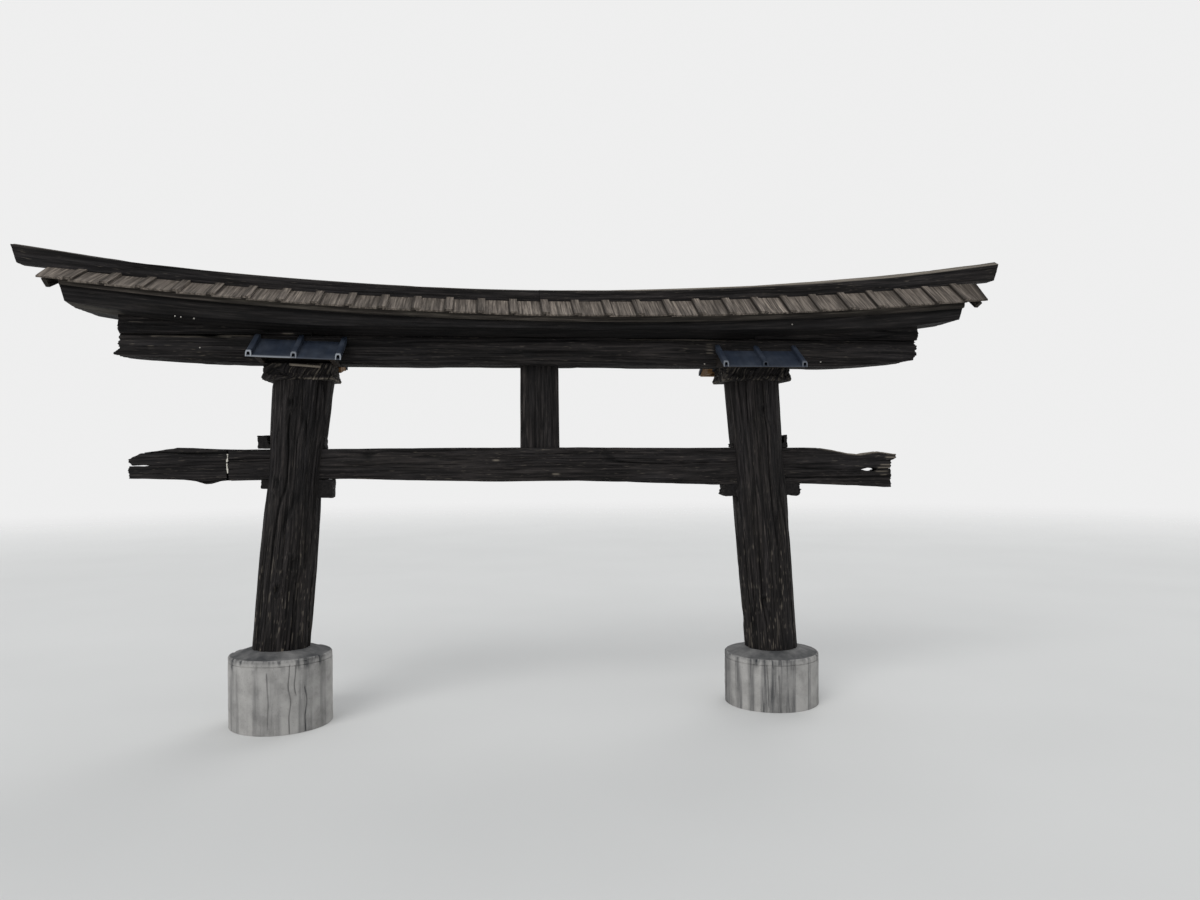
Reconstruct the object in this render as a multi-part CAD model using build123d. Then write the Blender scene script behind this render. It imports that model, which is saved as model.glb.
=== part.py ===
from build123d import *
import os
from math import hypot, sqrt

# A timber shrine gate on two round concrete plinths, in millimetres.
# X runs along the gate, minus Y is the front, Z is up, and the ground is at Z 0.

# Plinths
plinth_diameter = 590
plinth_height = 320
ground_fall = 90            # the ground drops this much from the left plinth to the right one
plinth_edge_chamfer = 7
plinth_band = 34            # from the top edge down to the lower side of the mould line
mould_line_height = 5
mould_line_depth = 4

# Pillars: tapered logs that lean in towards each other
pillar_spacing = 3036       # between centres at the plinths
frame_shift = -42           # the pillars stand a little left of the ridge's middle
left_lean = 142             # how far the left pillar's top stands in from its foot
right_lean = 118
left_foot_diameter = 337
left_head_diameter = 350
right_foot_diameter = 335
right_head_diameter = 348

# Cap blocks between the pillars and the lower lintel, with worn corners
lintel_bottom = 2132
left_block_height = 97
right_block_height = 94
left_block_width = 412
right_block_width = 438
left_block_shift = 7        # outwards from the pillar's head
block_depth = 340
left_block_corner = 20
right_block_corner = 42
block_edge = 14

# Lath nailed to the left block's front
lath_length = 176
lath_width = 14
lath_thickness = 8
lath_tilt = 4.5             # degrees out of level
lath_offset = 40            # from the block's middle towards the middle of the gate
lath_below_top = 33

# Tie beam
tie_beam_thickness = 120
left_beam_overhang = 838    # beyond the middle of the pillar's foot
right_beam_overhang = 816
beam_joint_offset = 288     # the left end is a piece of its own from here outwards
tie_beam_top = 1634
tie_beam_bottom = 1421
left_seat_bottom = 1445     # the beam's underside where it passes the left pillar
left_seat_top = 1632
right_seat_bottom = 1385
right_seat_top = 1622
seat_margin = 130           # the seats run this far past the pillars
mortise_clearance = 2

# Wear along the beam's free ends, as share of the way out and depth below the seat's top
left_top_wear = [(0.45, -8), (0.86, 15), (1.0, 62)]
right_top_wear = [(0.36, 22), (0.62, 46), (0.83, 29), (1.0, 48)]

# The same along the underside, as share of the way out and height above the seat's bottom
left_underside_wear = [(1.0, 15), (0.42, -3), (0.33, -24), (0.24, -5)]
right_underside_wear = [(0.98, -26)]

# Wedges over the beam and packing under it, in the pillars' mortises
upper_wedge_height = 86
upper_wedge_tip = 30
upper_wedge_bite = 110       # the thin end goes this far into the pillar
upper_wedge_width = 92
wedge_step = 4               # the thick end stands this clear of the pillar
outer_left_wedge_reach = 48  # beyond the pillar's side
inner_left_wedge_reach = 8
outer_right_wedge_reach = 20
packing_height = 52
left_packing_drop = 58       # the blocks' ragged ends hang lower than their seats, inside at the left
right_packing_drop = 17
left_packing_out = 10
left_packing_in = 36
right_packing_in = 68
right_packing_out = 80
packing_clearance = 4

# Strut in the middle
strut_width = 235
strut_foot_spread = 6
strut_thickness = 90

# Lower lintel: a round log sawn level along its top and underside, cut up towards its ends
lower_lintel_overhang = 922  # beyond half the pillars' spacing
lower_lintel_height = 173
lower_lintel_diameter = 260
left_end_start = 1400        # the underside rises from here outwards
right_end_start = 1750
left_end_rise = 52
right_end_rise = 45

# Rotted ends of the lower lintel, as inset and share of the height, from the top down
left_rot = [(0, 1.0), (10, 0.86), (26, 0.8), (16, 0.62), (30, 0.45), (12, 0.3)]
right_rot = [(12, 1.0), (4, 0.84), (22, 0.7), (10, 0.55), (26, 0.4), (14, 0.25)]

# Upward curve of the roof and ridge
ridge_half = 3030
roof_rise = 182
ridge_rise = 207

# Roof boards: the slopes are twisted, so that the front falls more at the right
roof_end_inset = 168        # the boards stop this far short of the ridge's ends
rake_inset = 56             # and this much further in at the eave
roof_run = 190
roof_drop = 94
roof_twist = 34             # more drop at the ridge's right end, less at its left
board_thickness = 18

# Upper lintel, with bevelled lower edges and a top cut to the roof's slopes
upper_lintel_inset = 150    # it stops this far short of the boards
upper_lintel_height = 205
upper_lintel_width = 440
upper_lintel_slant = 0.3    # the end cuts lean in this much for each unit down
keel_width = 200
keel_bevel_rise = 40
keel_flat = 1060            # the underside is level this far either side of the middle
left_keel_rise = 148        # then curves up this much by the ends
right_keel_rise = 126
filler_offset = 290         # from the level part out to where a filler fits between the lintels
filler_inset = 12           # the fillers stop this far short of the log's ends

# Fascia and barge boards
fascia_thickness = 22
fascia_height = 32          # shows this much under the boards
fascia_inset = 18           # it stops this far short of the upper lintel
barge_thickness = 20
barge_height = 46
barge_inset = 42
barge_foot_cut = 11
barge_foot_length = 52

# Ridge: two timbers that meet in the middle
ridge_width = 120
ridge_height = 90
left_ridge_crest = 12
right_ridge_crest = 22
ridge_slant = 0.25
ridge_end_chamfer = 42
ridge_end_chamfer_rise = 24

# Sheet metal hoods over the cap blocks
hood_width = 526
hood_centre_inset = 3       # from the pillar's head towards the middle of the gate
hood_reach = 318            # from the gate's centre plane to the eave
left_hood_eave = 19         # above the lower lintel's underside
right_hood_eave = -17
hood_fall = 112
hood_tuck = 24              # the sheet goes this far into the log's round side
left_hood_tilt = 2          # degrees, up to the left
hood_sheet = 4
hood_lip = 12
seam_count = 3
seam_width = 33
seam_height = 30
seam_wall = 3
frame_rail_width = 36
frame_rail_height = 12
frame_bracket = 30
left_frame_inset = 40
right_frame_inset = 10
frame_drop = 27             # the brackets reach this much below the lintel's underside

# Spare length on curved pieces before their ends are cut
trim_allowance = 30


# Values that follow from the ones above
lintel_joint = lintel_bottom + lower_lintel_height
board_rise = board_thickness * hypot(roof_run, roof_drop) / roof_run
eave_reach = ridge_width / 2 + roof_run
roof_half_at_ridge = ridge_half - roof_end_inset
roof_half_at_eave = roof_half_at_ridge - rake_inset
roof_span = roof_half_at_ridge + trim_allowance
upper_lintel_half = roof_half_at_ridge - upper_lintel_inset
lower_lintel_half = pillar_spacing / 2 + lower_lintel_overhang
left_foot = frame_shift - pillar_spacing / 2
right_foot = frame_shift + pillar_spacing / 2
left_head = left_foot + left_lean
right_head = right_foot - right_lean
tie_beam_left_end = left_foot - left_beam_overhang
tie_beam_right_end = right_foot + right_beam_overhang
tie_beam_joint = left_foot - beam_joint_offset


# Choice by side of the gate: minus 1 is the left and plus 1 the right
def of_side(side, left, right):
    return left if side < 0 else right


# Curves seen from the front, each giving the height at a place along the gate
def arc_height(x, reach, rise):
    """Height at x of an arc that starts level at 0 and has risen by rise at reach."""
    radius = (reach ** 2 + rise ** 2) / (2 * rise)
    return radius - sqrt(radius ** 2 - x ** 2)


def keel(x):
    past = max(0, abs(x) - keel_flat)
    rise = of_side(x, left_keel_rise, right_keel_rise)
    return lintel_joint + arc_height(past, upper_lintel_half - keel_flat, rise)


def log_underside(x):
    start = of_side(x, left_end_start, right_end_start)
    rise = of_side(x, left_end_rise, right_end_rise)
    return lintel_bottom + arc_height(max(0, abs(x) - start), lower_lintel_half - start, rise)


def log_top(x):
    return lintel_joint


def lintel_top(x):
    return lintel_joint + upper_lintel_height + arc_height(x, ridge_half, roof_rise)


def board_top(x):
    return lintel_top(x) + board_rise


def front_drop(x):
    """How far the front boards fall from the ridge to the eave."""
    return roof_drop + roof_twist * x / ridge_half


def ridge_shoulder(x):
    return lintel_joint + upper_lintel_height + ridge_height + arc_height(x, ridge_half, ridge_rise)


def below(line, depth):
    return lambda x: line(x) - depth


def dropped(line):
    return lambda x: line(x) - front_drop(x)


# Shape helpers
def curve_edges(line, stops, y):
    """A line or an arc along each stretch of a curve."""
    edges = []
    for a, b in zip(stops, stops[1:]):
        ends = [(a, y, line(a)), (b, y, line(b))]
        middle = ((a + b) / 2, y, line((a + b) / 2))
        if abs(2 * middle[2] - ends[0][2] - ends[1][2]) < 0.001:
            edges.append(Line(*ends))
        else:
            edges.append(ThreePointArc(ends[0], middle, ends[1]))
    return edges


def side_view(lower, upper, start, end, y, turns=()):
    """Flat face between two curves, in the plane Y = y, parted where a curve turns from level to round."""
    stops = [start] + [x for x in turns if start < x < end] + [end]
    edges = curve_edges(lower, stops, y) + curve_edges(upper, stops, y)
    for x in (start, end):
        edges.append(Line((x, y, lower(x)), (x, y, upper(x))))
    return Face(Wire(edges))


def pushed(face, run, rise=0):
    """Solid swept from a side view by run along Y and rise along Z."""
    return extrude(face, amount=hypot(run, rise), dir=(0, run, rise))


def side_outline(points, width):
    """Solid from an outline of (x, z) points, centred on Y 0."""
    face = make_face(Polyline([(x, -width / 2, z) for x, z in points], close=True))
    return extrude(face, amount=width, dir=(0, 1, 0))


def end_outline(points, start, end):
    """Solid from an outline of (y, z) points, from X = start to X = end."""
    face = make_face(Polyline([(start, y, z) for y, z in points], close=True))
    return extrude(face, amount=end - start, dir=(1, 0, 0))


def rear_of(solid):
    return mirror(solid, about=Plane.XZ)


def half_turned(solid):
    """The same piece on the gate's other face, as the twisted roof repeats there."""
    return Rot(0, 0, 180) * solid


# Places on the pillars
def pillar_foot(side):
    return of_side(side, plinth_height + ground_fall, plinth_height)


def pillar_top(side):
    return lintel_bottom - of_side(side, left_block_height, right_block_height)


def pillar_share(side, z):
    """How far up a pillar the height z is, from 0 at its foot to 1 at its head."""
    return (z - pillar_foot(side)) / (pillar_top(side) - pillar_foot(side))


def pillar_centre(side, z):
    """X of a pillar's axis at height z."""
    foot = of_side(side, left_foot, right_foot)
    head = of_side(side, left_head, right_head)
    return foot + (head - foot) * pillar_share(side, z)


def pillar_radius(side, z):
    foot = of_side(side, left_foot_diameter, right_foot_diameter) / 2
    head = of_side(side, left_head_diameter, right_head_diameter) / 2
    return foot + (head - foot) * pillar_share(side, z)


def pillar_face(side, outward, z):
    """X of a pillar's side at height z, on the outer or the inner side of the gate."""
    return pillar_centre(side, z) + side * outward * pillar_radius(side, z)


def seat(side):
    """Heights of the beam's underside and top where it passes a pillar."""
    return of_side(side, (left_seat_bottom, left_seat_top), (right_seat_bottom, right_seat_top))


# Plinths and pillars
def plinth(side):
    radius = plinth_diameter / 2
    height = pillar_foot(side)
    body = Cylinder(radius, height, align=(Align.CENTER, Align.CENTER, Align.MIN))
    body = chamfer(body.edges().group_by(Axis.Z)[-1], plinth_edge_chamfer)
    groove = Cylinder(2 * radius, mould_line_height) - Cylinder(radius - mould_line_depth, mould_line_height)
    body = body - Pos(0, 0, height - plinth_band + mould_line_height / 2) * groove
    return Pos(of_side(side, left_foot, right_foot), 0, 0) * body


def pillar(side):
    """Leaning cone cut level at its foot and head, with a mortise through it."""
    low = pillar_foot(side)
    high = pillar_top(side)
    spare = left_lean + right_lean
    start = Vector(pillar_centre(side, low - spare), 0, low - spare)
    axis = Vector(pillar_centre(side, high + spare), 0, high + spare) - start
    radii = (pillar_radius(side, low - spare), pillar_radius(side, high + spare))
    cone = Cone(*radii, axis.length, align=(Align.CENTER, Align.CENTER, Align.MIN))
    log = Plane(origin=start, z_dir=axis) * cone
    level = Pos(0, 0, (low + high) / 2) * Box(3 * pillar_spacing, 2 * sum(radii), high - low)
    return (log & level) - mortise(side)


def mortise(side):
    """Slot through a pillar for the beam, its wedges and its packing."""
    low, high = seat(side)
    floor = low - packing_height
    roof = high + upper_wedge_tip + mortise_clearance
    middle = (floor + roof) / 2
    width = tie_beam_thickness + 2 * mortise_clearance
    slot = Box(4 * pillar_radius(side, middle), width, roof - floor)
    return Pos(pillar_centre(side, middle), 0, middle) * slot


# Cap blocks and the lath
def cap_block(side):
    """Rectangular block with its upright corners worn round and its lower edge worn away."""
    height = lintel_bottom - pillar_top(side)
    width = of_side(side, left_block_width, right_block_width)
    centre = of_side(side, left_head - left_block_shift, right_head)
    block = Box(width, block_depth, height, align=(Align.CENTER, Align.CENTER, Align.MIN))
    block = fillet(block.edges().filter_by(Axis.Z), of_side(side, left_block_corner, right_block_corner))
    block = chamfer(block.edges().group_by(Axis.Z)[0], block_edge)
    return Pos(centre, 0, pillar_top(side)) * block


def lath():
    place = Pos(left_head + lath_offset, -(block_depth + lath_thickness) / 2, lintel_bottom - lath_below_top)
    return place * Rot(0, lath_tilt, 0) * Box(lath_length, lath_thickness, lath_width)


# Tie beam, wedges and packing
def worn(wear, start, end, level):
    """Points along a free end of the beam, from its shares and depths."""
    return [(start + share * (end - start), level + height) for share, height in wear]


def tie_beam():
    """The whole beam, before its outer left end is parted from it."""
    left_out = pillar_face(-1, 1, left_seat_top) - seat_margin
    left_in = pillar_face(-1, -1, left_seat_top) + seat_margin
    right_in = pillar_face(1, -1, right_seat_top) - seat_margin
    right_out = pillar_face(1, 1, right_seat_top) + seat_margin
    lowered = [(share, -depth) for share, depth in right_top_wear]
    left_top = [(share, -depth) for share, depth in reversed(left_top_wear)]
    points = worn(left_top, left_out, tie_beam_left_end, left_seat_top)
    points += [(left_out, left_seat_top), (left_in, left_seat_top)]
    points += [(-strut_width, tie_beam_top), (strut_width, tie_beam_top)]
    points += [(right_in, right_seat_top), (right_out, right_seat_top)]
    points += worn(lowered, right_out, tie_beam_right_end, right_seat_top)
    points += worn(right_underside_wear, right_out, tie_beam_right_end, right_seat_bottom)
    points += [(right_out, right_seat_bottom), (right_in, right_seat_bottom)]
    points += [(strut_width, tie_beam_bottom), (-strut_width, tie_beam_bottom)]
    points += [(left_in, left_seat_bottom), (left_out, left_seat_bottom)]
    points += worn(reversed(left_underside_wear), left_out, tie_beam_left_end, left_seat_bottom)
    return side_outline(points, tie_beam_thickness)


def beam_span(start, end):
    span = Box(end - start, 2 * tie_beam_thickness, 2 * tie_beam_top)
    return Pos((start + end) / 2, 0, tie_beam_top) * span


def upper_wedge(side, outward, reach):
    """Wedge driven in over the beam, with a thick end where it stands out of the pillar."""
    base = seat(side)[1]
    direction = side * outward
    faces = [pillar_face(side, outward, z) for z in (base, base + upper_wedge_height)]
    face = max(faces, key=lambda x: x * direction)
    step = face + direction * min(reach, wedge_step)
    thin_end = face - direction * upper_wedge_bite
    outline = [(step, base + upper_wedge_tip), (thin_end, base + upper_wedge_tip / 2), (thin_end, base)]
    if reach > wedge_step:
        end = face + direction * reach
        outline += [(end, base), (end, base + upper_wedge_height), (step, base + upper_wedge_height)]
    else:
        outline.append((step, base))
    return side_outline(outline, upper_wedge_width)


def packing_end(side, outward, reach, drop):
    """Points of one end of a packing block, from its top down and back to the pillar."""
    top = seat(side)[0]
    floor = top - packing_height
    direction = side * outward
    face = pillar_face(side, outward, floor - drop if outward > 0 else floor)
    points = [(face + direction * reach, top), (face + direction * reach, floor - drop)]
    if drop:
        step = face + direction * packing_clearance
        points += [(step, floor - drop), (step, floor)]
    return points


def packing(side, outer, inner):
    """Block under the beam, through the pillar, with ends given by their reach and drop."""
    outline = packing_end(side, 1, *outer) + packing_end(side, -1, *inner)[::-1]
    return side_outline(outline, tie_beam_thickness - 2 * packing_clearance)


# Strut
def strut():
    head = strut_width / 2
    foot = head + strut_foot_spread / 2
    outline = [(-foot, tie_beam_top), (foot, tie_beam_top), (head, lintel_bottom), (-head, lintel_bottom)]
    return side_outline(outline, strut_thickness)


# Lower lintel and the fillers over its ends
def rotted_end(side, rot):
    height = lower_lintel_height
    return [(side * (lower_lintel_half - inset), lintel_bottom + share * height) for inset, share in rot]


def lower_lintel():
    middle = lintel_bottom + lower_lintel_height / 2
    radius = lower_lintel_diameter / 2
    span = lower_lintel_half + radius
    log = Pos(0, 0, middle) * Rot(0, 90, 0) * Cylinder(radius, 2 * span)
    turns = (-left_end_start, right_end_start)
    sawn = side_view(log_underside, log_top, -lower_lintel_half, lower_lintel_half, -2 * radius, turns)
    log = log & pushed(sawn, 4 * radius)
    foot = lintel_bottom - radius
    ends = [(-lower_lintel_half, foot), (lower_lintel_half, foot)]
    outline = ends + list(reversed(rotted_end(1, right_rot))) + rotted_end(-1, left_rot)
    return log & side_outline(outline, 2 * lower_lintel_diameter)


def filler(side, lintel):
    """Tapered piece that fills the gap between the lintels towards one end."""
    start = side * (keel_flat + filler_offset)
    end = side * (lower_lintel_half - filler_inset)
    low, high = sorted((start, end))
    view = side_view(log_top, below(keel, -2 * keel_bevel_rise), low, high, -lower_lintel_diameter / 2)
    return pushed(view, lower_lintel_diameter) - lintel


# Upper lintel, roof, fascia and barge boards
def front_slope(lower, upper):
    """Twisted solid between two curves at the ridge's face and the same curves at the eave."""
    near = side_view(lower, upper, -roof_span, roof_span, -ridge_width / 2)
    far = side_view(dropped(lower), dropped(upper), -roof_span, roof_span, -eave_reach)
    return loft([near, far], ruled=True)


def over_roof():
    """Everything above the front slope's underside, for trimming what lies under the boards."""
    return front_slope(lintel_top, below(lintel_top, -upper_lintel_width))


def under_keel(half):
    """Everything below the front bevel of the upper lintel."""
    turns = (-keel_flat, keel_flat)
    deep = side_view(below(keel, upper_lintel_width), keel, -half, half, -keel_width / 2, turns)
    run = upper_lintel_width - keel_width
    return pushed(deep, -run, 2 * keel_bevel_rise)


def end_cuts(half, level, slant):
    """Wedges past two slanted end cuts that stand at half at the height level."""
    rise = upper_lintel_width
    cuts = []
    for side in (-1, 1):
        points = [
            (side * (half + slant * rise), level + rise),
            (side * (half + 3 * rise), level + rise),
            (side * (half + 3 * rise), level - rise),
            (side * (half - slant * rise), level - rise),
        ]
        cuts.append(side_outline(points, 3 * eave_reach))
    return cuts


def upper_lintel():
    half = roof_span - trim_allowance / 3
    turns = (-keel_flat, keel_flat)
    view = side_view(keel, lintel_top, -half, half, -upper_lintel_width / 2, turns)
    body = pushed(view, upper_lintel_width)
    over = over_roof()
    under = under_keel(half + trim_allowance / 6)
    body = body - over - half_turned(over)
    body = body - under - rear_of(under)
    for cut in end_cuts(upper_lintel_half, dropped(lintel_top)(0) + roof_rise, upper_lintel_slant):
        body = body - cut
    return body


def roof_slope():
    """Front slope of boards, level under the ridge, with rakes that draw in towards the eave."""
    level = side_view(lintel_top, board_top, -roof_span, roof_span, -ridge_width / 2)
    slab = front_slope(lintel_top, board_top) + pushed(level, ridge_width / 2)
    far = 2 * eave_reach
    for side in (-1, 1):
        corners = [
            (side * roof_half_at_ridge, -ridge_width / 2),
            (side * roof_half_at_eave, -eave_reach),
            (side * roof_half_at_eave, -far),
            (side * 2 * roof_span, -far),
            (side * 2 * roof_span, far),
            (side * roof_half_at_ridge, far),
        ]
        face = make_face(Polyline([(x, y, 0) for x, y in corners], close=True))
        slab = slab - extrude(face, amount=2 * lintel_joint, dir=(0, 0, 1))
    return slab


def fascia():
    """Front fascia board, fixed to the upper lintel's face under the boards."""
    half = upper_lintel_half - fascia_inset
    low = below(dropped(lintel_top), fascia_height)
    board = pushed(side_view(low, lintel_top, -half, half, -upper_lintel_width / 2), -fascia_thickness)
    return board - over_roof()


def barge_board(side):
    """Front barge board, under one end of the boards, with a foot cut to a point."""
    outer = side * (roof_half_at_eave - barge_inset)
    inner = outer - side * barge_thickness
    start, end = sorted((inner, outer))
    slope = front_drop(outer) / roof_run
    high = lintel_top(outer)
    foot = -eave_reach + barge_foot_length / 3
    tail = foot + barge_foot_length

    def underside(y):
        return high - slope * (-ridge_width / 2 - y)

    points = [
        (0, high + barge_height / 2),
        (foot, high + barge_height / 2),
        (foot, underside(foot) - barge_foot_cut / 3),
        (foot + barge_foot_cut, underside(foot) - barge_height - barge_foot_cut / 3),
        (tail, underside(tail) - barge_height + barge_foot_cut),
        (0, high - barge_height),
    ]
    boards = side_view(lintel_top, below(lintel_top, -barge_height), -roof_span, roof_span, -ridge_width / 2)
    return end_outline(points, start, end) - over_roof() - pushed(boards, ridge_width)


# Ridge
def ridge(side):
    """One of the two timbers, with a roof-shaped top and a slanted, chamfered end."""
    crest = of_side(side, left_ridge_crest, right_ridge_crest)
    top_line = below(ridge_shoulder, -crest)
    stops = sorted((0, side * (ridge_half + trim_allowance)))
    body = pushed(side_view(board_top, top_line, *stops, -ridge_width / 2), ridge_width)
    beyond = sorted((-side * trim_allowance / 3, side * (ridge_half + 2 * trim_allowance)))
    bevel = side_view(top_line, below(top_line, -2 * ridge_height), *beyond, 0)
    bevel = pushed(bevel, -ridge_width, -2 * crest)
    body = body - bevel - rear_of(bevel)
    top = top_line(ridge_half)
    bottom = board_top(ridge_half)
    slant = ridge_slant * (top - bottom)
    corner = ridge_half - slant
    outline = [
        (side * ridge_half, top),
        (side * ridge_half, top + ridge_height),
        (side * 2 * ridge_half, top + ridge_height),
        (side * 2 * ridge_half, bottom - ridge_height),
        (side * (corner - ridge_end_chamfer), bottom - ridge_height),
        (side * (corner - ridge_end_chamfer), bottom - ridge_end_chamfer_rise / 2),
        (side * corner, bottom + ridge_end_chamfer_rise),
    ]
    return body - side_outline(outline, 2 * ridge_width)


# Hoods, each drawn about its own centre and set in place afterwards
def hood_slope(side):
    """Depths and heights of the hood's upper surface at its back edge and at the eave."""
    rate = hood_fall / (hood_reach - lower_lintel_diameter / 2)
    back = hood_tuck - lower_lintel_diameter / 2
    eave = lintel_bottom + of_side(side, left_hood_eave, right_hood_eave)
    return (back, eave + rate * (hood_reach + back)), (-hood_reach, eave)


def set_hood(side, solid):
    """Moves a hood's piece from X = 0 to its place over a pillar's head, with its tilt."""
    eave = hood_slope(side)[1][1]
    centre = of_side(side, left_head, right_head) - side * hood_centre_inset
    tilt = of_side(side, left_hood_tilt, 0)
    return Pos(centre, 0, eave) * Rot(0, tilt, 0) * Pos(0, 0, -eave) * solid


def hood_sheet_metal(side):
    (back, top), (eave_y, eave_z) = hood_slope(side)
    points = [
        (back, top),
        (eave_y, eave_z),
        (eave_y, eave_z - hood_lip),
        (eave_y + hood_sheet, eave_z - hood_lip),
        (eave_y + hood_sheet, eave_z - hood_sheet),
        (back, top - hood_sheet),
    ]
    return end_outline(points, -hood_width / 2, hood_width / 2)


def hood_seams(side):
    """Hollow batten caps that stand on the sheet and run down its slope, open at the eave."""
    (back, top), (eave_y, eave_z) = hood_slope(side)
    run = back - eave_y
    fall = top - eave_z
    spacing = (hood_width - seam_width) / (seam_count - 1)
    half = seam_width / 2
    inside = half - seam_wall
    outer = [(-half, 0), (-half, seam_height), (half, seam_height), (half, 0)]
    inner = [(inside, 0), (inside, seam_height - seam_wall), (-inside, seam_height - seam_wall), (-inside, 0)]
    caps = []
    for i in range(seam_count):
        x = (i - (seam_count - 1) / 2) * spacing
        section = make_face(Polyline([(x + u, eave_y, eave_z + v) for u, v in outer + inner], close=True))
        caps.append(extrude(section, amount=hypot(run, fall), dir=(0, run, fall)))
    return caps


def hood_frame(side):
    """Eave rail under the sheet and two brackets that carry it from the log."""
    (back, top), (eave_y, eave_z) = hood_slope(side)
    low = lintel_bottom - frame_drop
    front = eave_y + hood_sheet
    slope = (top - eave_z) / (back - front)
    rail_back = front + frame_rail_width

    def under_sheet(y):
        return eave_z - hood_sheet + slope * (y - front)

    foot = under_sheet(front) - frame_rail_height
    joint = [(rail_back, foot), (rail_back, under_sheet(rail_back))]
    rail = [(front, under_sheet(front)), (front, foot)] + joint
    bracket = joint + [(back, under_sheet(back)), (back, low)]
    half = hood_width / 2 - of_side(side, left_frame_inset, right_frame_inset)
    frame = end_outline(rail, -half, half)
    for start in (-half, half - frame_bracket):
        frame = frame + end_outline(bracket, start, start + frame_bracket)
    return frame


# Assembly
def build():
    parts = {}
    names = {-1: "left", 1: "right"}
    for side, name in names.items():
        parts["plinth_" + name] = plinth(side)
        parts["pillar_" + name] = pillar(side)
        parts["cap_block_" + name] = cap_block(side)
    parts["cap_lath_left"] = lath()
    beam = tie_beam()
    parts["tie_beam"] = beam & beam_span(tie_beam_joint, tie_beam_right_end + seat_margin)
    parts["tie_beam_left_end"] = beam & beam_span(tie_beam_left_end - seat_margin, tie_beam_joint)
    parts["wedge_upper_left_outer"] = upper_wedge(-1, 1, outer_left_wedge_reach)
    parts["wedge_upper_left_inner"] = upper_wedge(-1, -1, inner_left_wedge_reach)
    parts["wedge_upper_right_outer"] = upper_wedge(1, 1, outer_right_wedge_reach)
    parts["wedge_upper_right_inner"] = upper_wedge(1, -1, 0)
    outer = (right_packing_out, right_packing_drop)
    inner = (right_packing_in, right_packing_drop)
    parts["packing_left"] = packing(-1, (left_packing_out, 0), (left_packing_in, left_packing_drop))
    parts["packing_right"] = packing(1, outer, inner)
    parts["centre_strut"] = strut()
    parts["lower_lintel"] = lower_lintel()
    parts["upper_lintel"] = upper_lintel()
    parts["roof_slope_front"] = roof_slope()
    parts["roof_slope_rear"] = half_turned(parts["roof_slope_front"])
    parts["fascia_front"] = fascia()
    parts["fascia_rear"] = half_turned(parts["fascia_front"])
    for side, name in names.items():
        parts["filler_" + name] = filler(side, parts["upper_lintel"])
        parts["barge_board_front_" + name] = barge_board(side)
        parts["barge_board_rear_" + names[-side]] = half_turned(parts["barge_board_front_" + name])
        parts["ridge_" + name] = ridge(side)
    log = parts["lower_lintel"]
    for side, name in names.items():
        sheet = set_hood(side, hood_sheet_metal(side)) - log
        seams = [set_hood(side, cap) - log - parts["filler_" + name] for cap in hood_seams(side)]
        seams = Compound(seams)
        frame = set_hood(side, hood_frame(side)) - log - parts["cap_block_" + name]
        for place, turned in (("front", lambda s: s), ("rear", rear_of)):
            parts[f"hood_sheet_{place}_{name}"] = turned(sheet)
            parts[f"hood_seams_{place}_{name}"] = turned(seams)
            parts[f"hood_frame_{place}_{name}"] = turned(frame)
    return parts


os.makedirs("parts", exist_ok=True)
for node, shape in build().items():
    export_step(shape, f"parts/{node}.step")
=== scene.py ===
import itertools
import math

import bpy
import numpy as np
from bpy.props import FloatProperty, FloatVectorProperty, IntProperty, PointerProperty
from mathutils import Matrix, Vector


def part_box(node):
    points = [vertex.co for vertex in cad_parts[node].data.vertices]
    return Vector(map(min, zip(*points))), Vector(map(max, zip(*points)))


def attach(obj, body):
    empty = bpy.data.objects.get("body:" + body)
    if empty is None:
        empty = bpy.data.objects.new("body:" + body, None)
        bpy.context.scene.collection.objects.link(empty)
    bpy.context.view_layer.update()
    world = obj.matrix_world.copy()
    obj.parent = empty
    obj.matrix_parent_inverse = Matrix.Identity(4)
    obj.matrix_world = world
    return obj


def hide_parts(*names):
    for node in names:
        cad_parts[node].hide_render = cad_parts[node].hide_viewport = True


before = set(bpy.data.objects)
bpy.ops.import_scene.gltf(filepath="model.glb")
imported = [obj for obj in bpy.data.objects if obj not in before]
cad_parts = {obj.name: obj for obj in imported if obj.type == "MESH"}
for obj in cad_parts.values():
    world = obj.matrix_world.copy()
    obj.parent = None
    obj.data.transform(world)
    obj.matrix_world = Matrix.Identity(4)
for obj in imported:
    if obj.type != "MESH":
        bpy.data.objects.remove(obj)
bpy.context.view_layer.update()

bl_info = {
    "name": "Timber shrine gate",
    "version": (1, 0, 0),
    "blender": (4, 5, 0),
    "location": "View3D > Sidebar > Shrine gate",
    "description": "Builds the weathered logs, boards and metal hoods of a timber shrine gate",
    "category": "Object",
}


def linear(text):
    """Linear colour from an sRGB hex value."""
    parts = [int(text[i:i + 2], 16) / 255 for i in (1, 3, 5)]
    return tuple(c / 12.92 if c <= 0.04045 else ((c + 0.055) / 1.055) ** 2.4 for c in parts)


# Sizes and colours a user would change

def length(name, default, description):
    return FloatProperty(name=name, default=default, description=description, unit="LENGTH", precision=4)


def colour(name, default, description):
    return FloatVectorProperty(
        name=name, default=linear(default), description=description, subtype="COLOR", size=3, min=0, max=1
    )


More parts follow.
